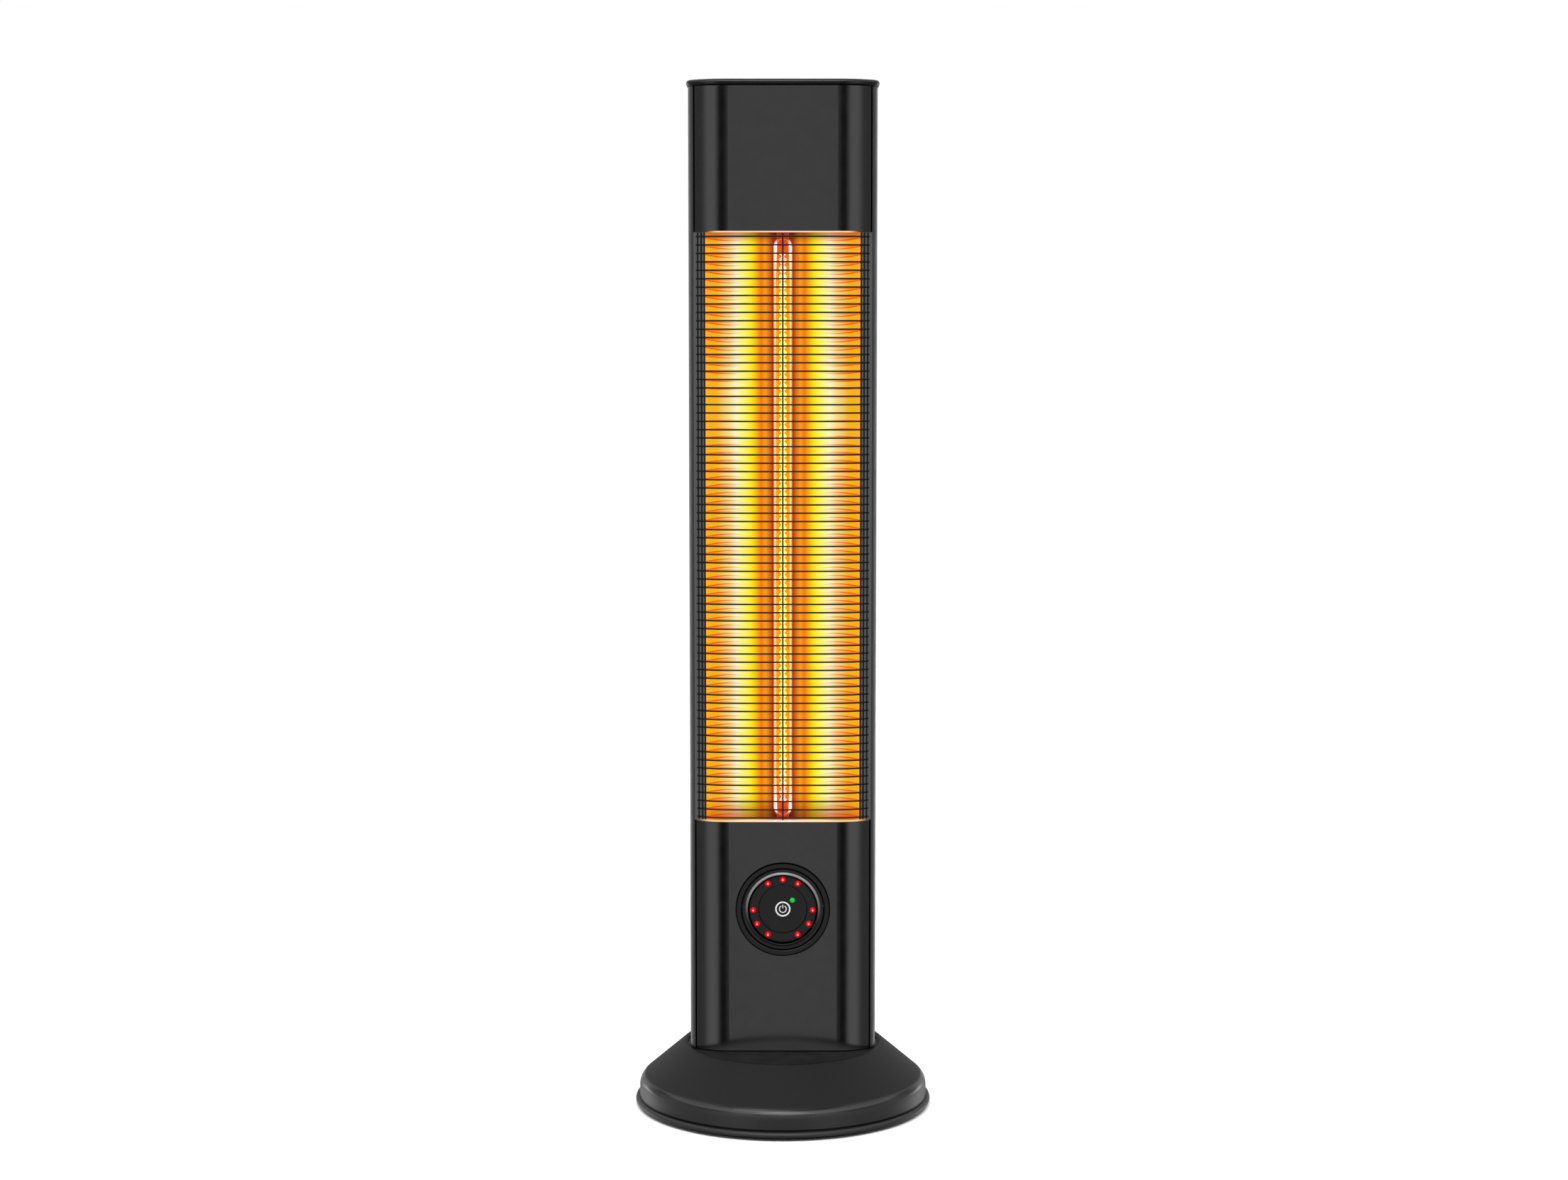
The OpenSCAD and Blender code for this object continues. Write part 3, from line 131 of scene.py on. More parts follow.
def greyRamp(tree, factor, stops):
    return ramp(tree, factor, [(position, grey(value)) for position, value in stops])


def screenRamp(tree, factor, stops, interpolation="LINEAR"):
    return ramp(tree, factor, [(position, screenColour(*colour)) for position, colour in stops], interpolation)


def blendColour(tree, factor, first, second, mode="MIX"):
    node = tree.nodes.new("ShaderNodeMix")
    node.data_type = "RGBA"
    node.blend_type = mode
    setOrLink(tree, node.inputs[0], factor)
    setOrLink(tree, node.inputs[6], first)
    setOrLink(tree, node.inputs[7], second)
    return node.outputs[2]


def axesOf(tree, vector):
    split = tree.nodes.new("ShaderNodeSeparateXYZ")
    linkUp(tree, vector, split.inputs[0])
    return split.outputs


def objectAxes(tree, kind="Object"):
    return axesOf(tree, addNode(tree, "ShaderNodeTexCoord", output=kind))


def newMaterial(name, roughness, colour=(0.8, 0.8, 0.8), metallic=0.0):
    material = bpy.data.materials.new(name)
    material.use_nodes = True
    surface = material.node_tree.nodes["Principled BSDF"]
    surface.inputs["Base Color"].default_value = (*colour, 1)
    surface.inputs["Roughness"].default_value = roughness
    surface.inputs["Metallic"].default_value = metallic
    return material, material.node_tree, surface


def copyFinish(base, name):
    material = base.copy()
    material.name = name
    tree = material.node_tree
    return material, tree, tree.nodes["Principled BSDF"], objectAxes(tree)


def glowWith(tree, surface, colour, strength=1.0):
    setOrLink(tree, surface.inputs["Emission Color"], colour)
    surface.inputs["Emission Strength"].default_value = strength


studio = {
    "floorHalf": 7.0,
    "floorColour": (0.88, 0.88, 0.88),
    "fadeStart": 1.6,
    "fadeEnd": 5.5,
    "roomGlow": 1.7,
    "overhead": 4.0,
    "beside": 1.6,
    # share of a half turn away from the front, and how bright the room is there
    "around": [
        (0.000, 0.74), (0.018, 0.74), (0.034, 0.0), (0.104, 0.0), (0.150, 0.95), (0.235, 0.95),
        (0.300, 0.3), (0.38, 0.26), (0.58, 0.5), (0.72, 0.25), (0.80, 0.55), (0.87, 0.3), (1.0, 0.3),
    ],
    # share of the way from straight down to straight up
    "upDown": [(0.0, 0.1), (0.10, 0.12), (0.20, 1), (0.78, 1), (0.89, 0.3), (0.955, 0.35), (0.985, 1.3)],
    "stripHeight": [(0.0, 0), (0.75, 0), (0.79, 1), (0.92, 1), (0.955, 0)],
    "stripAround": [(0.0, 1.25), (0.08, 1.1), (0.16, 0.45), (0.6, 0.2)],
    "patchHeight": [(0.26, 0), (0.32, 1), (0.52, 1), (0.58, 0)],
    "patchAround": [(0.66, 0), (0.70, 1), (0.78, 1), (0.82, 0)],
    "light": {"place": (-0.5, -1.1, 2.4), "aim": (0, 0, 0.3), "size": (1.6, 1.0), "power": 12},
}

floorMesh = bpy.data.meshes.new("studioFloor")
reach = studio["floorHalf"]
floorCorners = [(-reach, -reach, 0), (reach, -reach, 0), (reach, reach, 0), (-reach, reach, 0)]
floorMesh.from_pydata(floorCorners, [], [(0, 1, 2, 3)])
floor = bpy.data.objects.new("studioFloor", floorMesh)
bpy.context.scene.collection.objects.link(floor)
floor.visible_glossy = False

floorPaint, tree, surface = newMaterial("floorPaint", 0.9, studio["floorColour"])
surface.inputs["Specular IOR Level"].default_value = 0.1
distance = tree.nodes.new("ShaderNodeVectorMath")
distance.operation = "LENGTH"
linkUp(tree, addNode(tree, "ShaderNodeTexCoord", output="Object"), distance.inputs[0])
fade = remap(tree, distance.outputs["Value"], studio["fadeStart"], studio["fadeEnd"], 1, 0, True)
linkUp(tree, fade, surface.inputs["Alpha"])
floorMesh.materials.append(floorPaint)

# A wide soft light in front, a dark gap on each side of it, then a soft light at each side
world = bpy.data.worlds.new("studioRoom")
bpy.context.scene.world = world
world.use_nodes = True
tree = world.node_tree
tree.nodes.clear()
ray = axesOf(tree, addNode(tree, "ShaderNodeTexCoord", output="Generated"))
turned = calc(tree, "ARCTAN2", ray["X"], calc(tree, "MULTIPLY", ray["Y"], -1.0))
share = calc(tree, "DIVIDE", calc(tree, "ABSOLUTE", turned), math.pi)
height = calc(tree, "MULTIPLY_ADD", ray["Z"], 0.5, 0.5)
around = greyRamp(tree, share, studio["around"])
level = blendColour(tree, 1.0, around, greyRamp(tree, height, studio["upDown"]), "MULTIPLY")
strip = calc(tree, "MULTIPLY", greyRamp(tree, height, studio["stripHeight"]),
             greyRamp(tree, share, studio["stripAround"]))
patch = calc(tree, "MULTIPLY", greyRamp(tree, share, studio["patchAround"]),
             greyRamp(tree, height, studio["patchHeight"]))
beside = blendColour(tree, patch, level, grey(studio["beside"]))
roomLight = addNode(tree, "ShaderNodeBackground", {
    "Color": blendColour(tree, strip, beside, grey(studio["overhead"])), "Strength": studio["roomGlow"],
})
backdrop = addNode(tree, "ShaderNodeBackground", {"Color": grey(1)})
fromCamera = addNode(tree, "ShaderNodeLightPath", output="Is Camera Ray")
room = addNode(tree, "ShaderNodeMixShader", {0: fromCamera, 1: roomLight, 2: backdrop})
linkUp(tree, room, tree.nodes.new("ShaderNodeOutputWorld").inputs["Surface"])

lightSet = studio["light"]
lightData = bpy.data.lights.new("overheadLight", "AREA")
lightData.shape = "RECTANGLE"
lightData.size, lightData.size_y = lightSet["size"]
lightData.energy = lightSet["power"]
light = bpy.data.objects.new("overheadLight", lightData)
bpy.context.scene.collection.objects.link(light)
light.location = lightSet["place"]
aimed = Vector(lightSet["aim"]) - Vector(lightSet["place"])
light.rotation_euler = aimed.to_track_quat("-Z", "Y").to_euler()
print("stage done: camera, floor and light")


# A finish starts from one shader: colour mottled by a soft noise, a fine grain in its bump
def makeFinish(name, colour, roughness, metallic=0.0, mottle=0.12, mottleScale=90, grain=0.0, grainScale=1500,
               roughSpread=0.05, coat=0.0, level=0.5):
    material, tree, surface = newMaterial(name, roughness, metallic=metallic)
    surface.inputs["Specular IOR Level"].default_value = level
    surface.inputs["Coat Weight"].default_value = coat
    surface.inputs["Coat Roughness"].default_value = 0.08
    where = addNode(tree, "ShaderNodeTexCoord", output="Object")
    cloud = addNode(tree, "ShaderNodeTexNoise", {"Scale": mottleScale, "Detail": 3, "Vector": where}, "Fac")
    thin, thick = 0.3, 0.7  # between these noise levels the colour changes
    darker = tuple(c * (1 - mottle) for c in colour)
    lighter = tuple(min(c * (1 + mottle), 1) for c in colour)
    linkUp(tree, ramp(tree, cloud, [(thin, darker), (thick, lighter)]), surface.inputs["Base Color"])
    linkUp(tree, remap(tree, cloud, thin, thick, roughness - roughSpread, roughness + roughSpread),
           surface.inputs["Roughness"])
    if grain:
        fine = addNode(tree, "ShaderNodeTexNoise", {"Scale": grainScale, "Detail": 2, "Vector": where}, "Fac")
        bump = addNode(tree, "ShaderNodeBump", {"Strength": grain, "Distance": 0.1 * mm, "Height": fine})
        linkUp(tree, bump, surface.inputs["Normal"])
    return material


def dress(material, *names):
    for name in names:
        for slot in nodes[name].material_slots:
            slot.material = material


satinBlack = makeFinish("satinBlack", (0.0028, 0.0028, 0.003), 0.16, grain=0.12, grainScale=1700, roughSpread=0.015)
lidBlack = makeFinish("lidBlack", (0.0025, 0.0025, 0.0026), 0.25, grain=0.15, level=0.22)
shellBlack = makeFinish("shellBlack", (0.012, 0.012, 0.0125), 0.4, grain=0.3, grainScale=1700, level=0.35)
textureBlack = makeFinish("textureBlack", (0.0032, 0.0032, 0.0033), 0.26, mottle=0.08, grain=0.3, grainScale=1300,
                          roughSpread=0.01, level=0.3)
discBlack = makeFinish("discBlack", (0.01, 0.01, 0.0102), 0.5, mottle=0.25, grain=0.6, grainScale=1300, level=0.1)
controlBlack = makeFinish("controlBlack", (0.004, 0.004, 0.0042), 0.3, grain=0.1, grainScale=1800, level=0.27)
enamelBlack = makeFinish("enamelBlack", (0.002, 0.002, 0.003), 0.3, grain=0.05, grainScale=900, level=0.15)
zincSteel = makeFinish("zincSteel", (0.52, 0.53, 0.54), 0.3, 1, mottle=0.15, grain=0.08, grainScale=700)
zincSheet = makeFinish("zincSheet", (0.42, 0.43, 0.44), 0.4, 1, mottle=0.25, mottleScale=45, grain=0.05, grainScale=400)
plateSteel = makeFinish("plateSteel", (0.09, 0.09, 0.095), 0.45, 0.6, grain=0.2, grainScale=900)
castIron = makeFinish("castIron", (0.06, 0.06, 0.065), 0.65, 0.4, mottle=0.3, grain=0.8, grainScale=500)
darkRubber = makeFinish("darkRubber", (0.012, 0.012, 0.012), 0.75, grain=0.3, grainScale=900)
acetalCream = makeFinish("acetalCream", (0.72, 0.69, 0.6), 0.38, mottle=0.04, grain=0.05)
ceramicGlaze = makeFinish("ceramicGlaze", (0.72, 0.69, 0.62), 0.22, mottle=0.05, grain=0.05, coat=0.5)
ceramicDark = makeFinish("ceramicDark", (0.02, 0.014, 0.011), 0.4, mottle=0.2, grain=0.1)
switchBlack = makeFinish("switchBlack", (0.018, 0.018, 0.021), 0.36, grain=0.1)
motorCan = makeFinish("motorCan", (0.5, 0.51, 0.53), 0.32, 1, grain=0.06, grainScale=600)
boardGreen = makeFinish("boardGreen", (0.02, 0.16, 0.06), 0.32, mottle=0.25, mottleScale=260, grain=0.1,
                        grainScale=600, coat=0.3)

# The base: a dull cone with a glossy crease below it; painted shade as black lines in the groove over the flange and a
# painted contact shadow under it, and the cone painted darker than the wall
baseSet = {
    "wall": 0.0205, "cone": 0.0235, "wallRough": 0.46, "coneRough": 0.6, "wallColour": 0.0085, "coneColour": 0.002,
    "coneShade": 0.38, "crease": (0.0180, 0.0200, 0.0225, 0.0245), "creaseRough": 0.14,
    "groove": (0.0068, 0.0072, 0.0080, 0.0087), "foot": (0.0026, 0.0034),
}
tree = textureBlack.node_tree
surface = tree.nodes["Principled BSDF"]
height = objectAxes(tree)["Z"]
onCone = remap(tree, height, baseSet["wall"], baseSet["cone"], 0, 1, True)
onCrease = softBand(tree, height, *baseSet["crease"])
rough = remap(tree, onCone, 0, 1, baseSet["wallRough"], baseSet["coneRough"])
smoother = calc(tree, "MULTIPLY", onCrease, calc(tree, "SUBTRACT", baseSet["creaseRough"], rough))
linkUp(tree, calc(tree, "ADD", rough, smoother), surface.inputs["Roughness"])
# painted shade: a black line in the groove over the flange, and a painted contact shadow along the foot
paintedShade = calc(tree, "ADD", softBand(tree, height, *baseSet["groove"]), remap(tree, height, *baseSet["foot"], 1, 0, True))
# painted shade: the cone, apart from its crease, is dimmed with black metal and given a darker colour than the wall
paintedConeShade = calc(tree, "MULTIPLY", calc(tree, "SUBTRACT", onCone, onCrease, clamp=True), baseSet["coneShade"])
linkUp(tree, calc(tree, "ADD", paintedConeShade, paintedShade, clamp=True), surface.inputs["Metallic"])
baseColour = blendColour(tree, onCone, grey(baseSet["wallColour"]), grey(baseSet["coneColour"]))
linkUp(tree, baseColour, surface.inputs["Base Color"])

dress(textureBlack, "base_shell")
dress(discBlack, "turntable")
dress(plateSteel, "base_plate")
dress(castIron, "ballast_weights")
dress(darkRubber, "rubber_feet", "cord_gland")
dress(acetalCream, "pivot_bush", "slide_ring", "sector_gear", "drive_pinion", "tip_plunger", "terminal_block")
dress(motorCan, "swivel_motor")
dress(switchBlack, "tip_switch", "bezel_nut")
dress(zincSteel, "base_screws", "motor_screws", "motor_shaft", "tip_spring", "retaining_ring", "flange_screws",
      "bracket_screws", "board_screws", "board_standoffs", "button_clip", "button_spring")
dress(zincSheet, "chassis_rail", "reflector_brackets", "lamp_clips")
dress(enamelBlack, "rear_screws")
dress(ceramicGlaze, "thermal_cutout")
dress(ceramicDark, "lamp_end_caps")
dress(boardGreen, "power_board", "control_board")
dress(controlBlack, "power_button")


# How far a point is from the control's own axis
def fromControl(tree, axes):
    rise = calc(tree, "SUBTRACT", axes["Z"], controlHeight * mm)
    return calc(tree, "SQRT", calc(tree, "ADD", calc(tree, "POWER", axes["X"], 2.0), calc(tree, "POWER", rise, 2.0)))


# A black metal reflects nothing, so it paints shade: a line as dark as a deep gap
def paintShadeWhere(tree, surface, mask):
    plain = surface.inputs["Base Color"].links[0].from_socket
    linkUp(tree, blendColour(tree, mask, plain, (0, 0, 0)), surface.inputs["Base Color"])
    linkUp(tree, mask, surface.inputs["Metallic"])


# Painted shade: the bezel's outer edge and its inner gap are black outlines
bezelSet = {"inner": 0.0321, "outer": 0.0354}
bezelShaded, tree, surface, axes = copyFinish(controlBlack, "bezelShadedBlack")
radius = fromControl(tree, axes)
edges = calc(tree, "ADD", calc(tree, "GREATER_THAN", radius, bezelSet["outer"]),
             calc(tree, "LESS_THAN", radius, bezelSet["inner"]), clamp=True)
paintShadeWhere(tree, surface, edges)
dress(bezelShaded, "control_bezel")

# The face is dull in its dish and glossy on its raised bead, with painted shade in the groove round it and beyond the
# bead's rim, and a painted highlight on the bead's upper half
faceSet = {
    "dish": 0.0256, "groove": 0.0268, "bead": 0.0272, "beadEnd": 0.0288, "rim": 0.0309, "dull": 0.46, "glossy": 0.2,
    "highlightFrom": -0.012, "highlightTo": 0.02, "highlightColour": 0.16, "highlightMetal": 0.22,
    # millimetres: where the CAD solid has its bead, and how far inwards it moves
    "cadBead": (27.35, 30.65), "cadFront": -32.85, "shift": 1.7,
}
faceBlack, tree, surface, axes = copyFinish(controlBlack, "faceBlack")
radius = fromControl(tree, axes)
onBead = calc(tree, "MULTIPLY", remap(tree, radius, faceSet["groove"], faceSet["bead"], 0, 1, True),
              calc(tree, "LESS_THAN", radius, faceSet["beadEnd"]))
gloss = faceSet["glossy"] - faceSet["dull"]
linkUp(tree, calc(tree, "MULTIPLY_ADD", onBead, gloss, faceSet["dull"]), surface.inputs["Roughness"])
inGroove = calc(tree, "MULTIPLY", calc(tree, "GREATER_THAN", radius, faceSet["dish"]),
                calc(tree, "LESS_THAN", radius, faceSet["groove"]))
# painted shade: black in the groove inside the bead and outside its rim
paintedShade = calc(tree, "ADD", inGroove, calc(tree, "GREATER_THAN", radius, faceSet["rim"]), clamp=True)
plain = surface.inputs["Base Color"].links[0].from_socket
rise = calc(tree, "SUBTRACT", axes["Z"], controlHeight * mm)
# painted highlight: the bead's upper half gets a lighter, partly metal colour
paintedHighlight = calc(tree, "MULTIPLY", onBead, remap(tree, rise, faceSet["highlightFrom"], faceSet["highlightTo"], 0, 1, True))
highlightedColour = blendColour(tree, paintedHighlight, plain, grey(faceSet["highlightColour"]))
linkUp(tree, blendColour(tree, paintedShade, highlightedColour, (0, 0, 0)), surface.inputs["Base Color"])
linkUp(tree, calc(tree, "MAXIMUM", paintedShade, calc(tree, "MULTIPLY", paintedHighlight, faceSet["highlightMetal"])),
       surface.inputs["Metallic"])
dress(faceBlack, "control_face")

# The shell's inward edge: painted shade as black in the parting groove, and painted lamp light where the window opens
# onto it
grooveSet = {"outer": 0.06755, "front": -0.0165, "low": 0.2275, "high": 0.6757, "lit": 0.095}
shadedShell, tree, surface, axes = copyFinish(shellBlack, "shadedShell")
inEdge = calc(tree, "MULTIPLY", calc(tree, "LESS_THAN", calc(tree, "ABSOLUTE", axes["X"]), grooveSet["outer"]),
              calc(tree, "LESS_THAN", axes["Y"], grooveSet["front"]))
inWindow = calc(tree, "MULTIPLY", calc(tree, "GREATER_THAN", axes["Z"], grooveSet["low"]),
                calc(tree, "LESS_THAN", axes["Z"], grooveSet["high"]))
paintShadeWhere(tree, surface, inEdge)
paintedLampLight = calc(tree, "MULTIPLY", inEdge, inWindow)
glowWith(tree, surface, blendColour(tree, paintedLampLight, (0, 0, 0), grey(grooveSet["lit"])))
dress(shadedShell, "rear_shell")

# Every lead has the colour of its own sleeve
sleeveColours = [(0.0, (122, 47, 34)), (0.3, (200, 195, 180)), (0.6, (40, 40, 42))]
sleeves, tree, surface = newMaterial("wireSleeves", 0.55)
perLead = addNode(tree, "ShaderNodeNewGeometry", output="Random Per Island")
linkUp(tree, screenRamp(tree, perLead, sleeveColours, "CONSTANT"), surface.inputs["Base Color"])
dress(sleeves, "base_wiring", "column_wiring")
print("stage done: plain finishes")

# The lamp's light shows as a thin bright line on the upper cover's edge over the window
edgeSet = {"top": 0.6755 + 0.85 * mm, "fadeFrom": 0.048, "fadeTo": 0.058, "colour": (250, 226, 196)}
edgeCover, tree, surface, axes = copyFinish(satinBlack, "edgeCover")
onEdge = calc(tree, "LESS_THAN", axes["Z"], edgeSet["top"])
nearLamp = remap(tree, calc(tree, "ABSOLUTE", axes["X"]), edgeSet["fadeFrom"], edgeSet["fadeTo"], 1, 0, True)
edgeGlow = calc(tree, "MULTIPLY", onEdge, nearLamp)
glowWith(tree, surface, blendColour(tree, edgeGlow, (0, 0, 0), screenColour(*edgeSet["colour"])))
dress(edgeCover, "upper_cover")

# The lower cover has such a line on its lip, and a soft reflection of the floor at its foot
lipSet = {
    "low": 0.2279 - 0.8 * mm, "fadeFrom": 0.055, "fadeTo": 0.066, "atSides": 0.1, "half": 0.06,
    "colours": [(0.0, (255, 236, 214)), (0.55, (255, 214, 160)), (0.85, (250, 190, 130))],
    "footFrom": 0.0535, "footTo": 0.0625, "footBow": 2.6, "footGlow": 0.026,
}
litCover, tree, surface, axes = copyFinish(satinBlack, "litCover")
aside = calc(tree, "ABSOLUTE", axes["X"])
onLip = calc(tree, "GREATER_THAN", axes["Z"], lipSet["low"])
nearLamp = remap(tree, aside, lipSet["fadeFrom"], lipSet["fadeTo"], 1, lipSet["atSides"], True)
lipGlow = calc(tree, "MULTIPLY", onLip, nearLamp)
lipColour = screenRamp(tree, calc(tree, "DIVIDE", aside, lipSet["half"]), lipSet["colours"])
bowed = calc(tree, "MULTIPLY", calc(tree, "POWER", axes["X"], 2.0), lipSet["footBow"])
atFoot = remap(tree, calc(tree, "ADD", axes["Z"], bowed), lipSet["footFrom"], lipSet["footTo"], 1, 0, True)
footColour = blendColour(tree, atFoot, (0, 0, 0), grey(lipSet["footGlow"]))
glowWith(tree, surface, blendColour(tree, lipGlow, footColour, lipColour))
dress(litCover, "lower_cover")

# Hot reflector: painted lamp glow in bands that follow its curve, with the guard wires' curved reflections painted on
# it
hotMetal = {"roughness": 0.42, "colour": (0.10, 0.085, 0.07), "metallic": 1}
reflectorSet = {
    "half": 0.0594,
    # millimetres from the middle and the painted glow there: dark red beside the lamp, orange, yellow, cream, then
    # orange again
    "glowBands": [
        (0, (150, 24, 4)), (8, (184, 50, 12)), (13.5, (248, 155, 22)), (16.8, (243, 118, 5)), (19, (248, 158, 10)),
        (24, (251, 228, 8)), (30, (251, 245, 105)), (36, (251, 246, 186)), (42, (246, 216, 130)), (50, (242, 180, 30)),
        (59, (243, 164, 14)),
    ],
    "wireFirst": 0.23, "wirePitch": 0.00632, "eyeLine": 0.6065, "guardDepth": -0.032, "lean": 0.462,
    # the reflections bow down above the turn and up below it, more so away from the lamp
    "bowLow": 0.482, "bowTurn": 0.545, "bowHigh": 0.587, "bowFrom": 0.021, "bowCurve": 2.9,
    "streaks": [(0.13, 0.52, 1.0), (0.08, 0.14, 0.8)],  # lift, swing and weight of each reflection
    "streakFade": (0.12, 0.8), "streakColour": (236, 66, 4), "streakWidth": 0.15,
    "lowEnd": (0.2225, 0.243), "highEnd": (0.6675, 0.6755), "endShare": 0.75,
    "endFrom": (0.004, 0.045), "dimColour": (196, 66, 8), "darkEnd": (70, 8, 6),
    "back": 0.01245, "rimFront": -0.02, "rimGlow": 0.07,
    "coldBase": (0.2, 0.2, 0.21), "hotBase": (0.012, 0.010, 0.008),
}
hotReflector, tree, surface = newMaterial("hotReflector", **hotMetal)
axes = objectAxes(tree)
aside = calc(tree, "ABSOLUTE", axes["X"])
glowBands = [(x * mm / reflectorSet["half"], colour) for x, colour in reflectorSet["glowBands"]]
paintedGlowColour = screenRamp(tree, calc(tree, "DIVIDE", aside, reflectorSet["half"]), glowBands)
outward = remap(tree, aside, reflectorSet["bowFrom"], reflectorSet["half"], 0, 1)
above = calc(tree, "SUBTRACT", axes["Z"], reflectorSet["eyeLine"])
behind = calc(tree, "SUBTRACT", axes["Y"], reflectorSet["guardDepth"])
leaning = calc(tree, "MULTIPLY", calc(tree, "MULTIPLY", above, behind), -reflectorSet["lean"])
fromFirst = calc(tree, "SUBTRACT", calc(tree, "ADD", axes["Z"], leaning), reflectorSet["wireFirst"])
cell = calc(tree, "DIVIDE", fromFirst, reflectorSet["wirePitch"])
bow = calc(tree, "ADD", remap(tree, axes["Z"], reflectorSet["bowTurn"], reflectorSet["bowHigh"], 0.0, -1.0),
           remap(tree, axes["Z"], reflectorSet["bowLow"], reflectorSet["bowTurn"], 1.0, 0.0))
curve = reflectorSet["bowCurve"]
reachIn = calc(tree, "MULTIPLY", outward, calc(tree, "MULTIPLY_ADD", outward, -curve, curve))
streaks = None
for lift, swing, weight in reflectorSet["streaks"]:
    wireLine = calc(tree, "MULTIPLY", bow, calc(tree, "MULTIPLY_ADD", reachIn, swing, lift))
    shifted = calc(tree, "ADD", calc(tree, "SUBTRACT", cell, wireLine), 0.5)
    offset = calc(tree, "ABSOLUTE", calc(tree, "SUBTRACT", calc(tree, "FRACT", shifted), 0.5))
    line = remap(tree, offset, 0.0, reflectorSet["streakWidth"], weight, 0, True)
    streak = calc(tree, "MULTIPLY", line, remap(tree, outward, *reflectorSet["streakFade"], 0, 1, True))
    streaks = streak if streaks is None else calc(tree, "MAXIMUM", streaks, streak)
striped = blendColour(tree, streaks, paintedGlowColour, screenColour(*reflectorSet["streakColour"]))
# towards both ends the glow turns darker, first near the lamp
endFade = calc(tree, "ADD", remap(tree, axes["Z"], *reflectorSet["lowEnd"], 1, 0, True),
               remap(tree, axes["Z"], *reflectorSet["highEnd"], 0, 1, True), clamp=True)
endColour = blendColour(tree, remap(tree, aside, *reflectorSet["endFrom"], 0, 1, True),
                        screenColour(*reflectorSet["darkEnd"]), screenColour(*reflectorSet["dimColour"]))
ended = blendColour(tree, calc(tree, "MULTIPLY", endFade, reflectorSet["endShare"]), striped, endColour)
insideMouth = calc(tree, "LESS_THAN", aside, reflectorSet["half"])
inFront = calc(tree, "LESS_THAN", axes["Y"], reflectorSet["back"])
# only the side of the sheet that looks at the lamp glows
facing = objectAxes(tree, "Normal")
fromLamp = calc(tree, "SUBTRACT", axes["Y"], lampDepth * mm)
towardLamp = calc(tree, "LESS_THAN", calc(tree, "ADD", calc(tree, "MULTIPLY", facing["X"], axes["X"]),
                                          calc(tree, "MULTIPLY", facing["Y"], fromLamp)), 0.0)
glow = calc(tree, "MULTIPLY", calc(tree, "MULTIPLY", insideMouth, inFront), towardLamp)
onRim = calc(tree, "LESS_THAN", axes["Y"], reflectorSet["rimFront"])
rimLight = blendColour(tree, onRim, (0, 0, 0), grey(reflectorSet["rimGlow"]))
unlit = blendColour(tree, insideMouth, rimLight, (0, 0, 0))
glowWith(tree, surface, blendColour(tree, glow, unlit, ended))
linkUp(tree, blendColour(tree, glow, reflectorSet["coldBase"], reflectorSet["hotBase"]), surface.inputs["Base Color"])
dress(hotReflector, "reflector")

# The reflector's ends glow only on the side that looks back at the lamp
endSet = {
    "middle": 0.45, "inward": -0.05, "half": 0.06, "strength": 0.7,
    "colours": [(0.0, (250, 130, 60)), (0.25, (250, 190, 120)), (0.6, (255, 236, 190)), (1.0, (220, 130, 40))],
}
hotEnds, tree, surface = newMaterial("hotEnds", **hotMetal)
axes = objectAxes(tree)
endColour = screenRamp(tree, calc(tree, "DIVIDE", calc(tree, "ABSOLUTE", axes["X"]), endSet["half"]), endSet["colours"])
fromMiddle = calc(tree, "SUBTRACT", axes["Z"], endSet["middle"])
facing = objectAxes(tree, "Normal")
inward = calc(tree, "LESS_THAN", calc(tree, "MULTIPLY", facing["Z"], fromMiddle), endSet["inward"])
glowWith(tree, surface, blendColour(tree, inward, (0, 0, 0), endColour), endSet["strength"])
dress(hotEnds, "reflector_ends")

# Clear quartz, lit along its two sides by the filament and milky towards its sealed ends
quartzSet = {
    "middle": 0.4495, "milkFrom": 0.185, "milkFull": 0.222, "wallFrom": 5.35, "thicker": 1.1, "wallFade": 0.7,
    # its colour where it is clear and where it is milky
    "wall": ((255, 234, 160), (255, 248, 228)), "inner": ((163, 121, 9), (147, 42, 12)),
    "index": 1.08, "strength": 0.4,
}
quartz, tree, surface = newMaterial("quartz", 0.03, (1, 0.985, 0.96))
surface.inputs["IOR"].default_value = quartzSet["index"]
surface.inputs["Transmission Weight"].default_value = 1.0
axes = objectAxes(tree)
fromMiddle = calc(tree, "ABSOLUTE", calc(tree, "SUBTRACT", axes["Z"], quartzSet["middle"]))
milky = remap(tree, fromMiddle, quartzSet["milkFrom"], quartzSet["milkFull"], 0, 1, True)
wallStart = calc(tree, "MULTIPLY_ADD", milky, -quartzSet["thicker"] * mm, quartzSet["wallFrom"] * mm)
wallEnd = calc(tree, "ADD", wallStart, quartzSet["wallFade"] * mm)
atWall = remap(tree, calc(tree, "ABSOLUTE", axes["X"]), wallStart, wallEnd, 0, 1, True)
wallGlow, innerGlow = [blendColour(tree, milky, *[screenColour(*shade) for shade in quartzSet[part]])
                       for part in ("wall", "inner")]
glowWith(tree, surface, blendColour(tree, atWall, innerGlow, wallGlow), quartzSet["strength"])
dress(quartz, "quartz_tube")

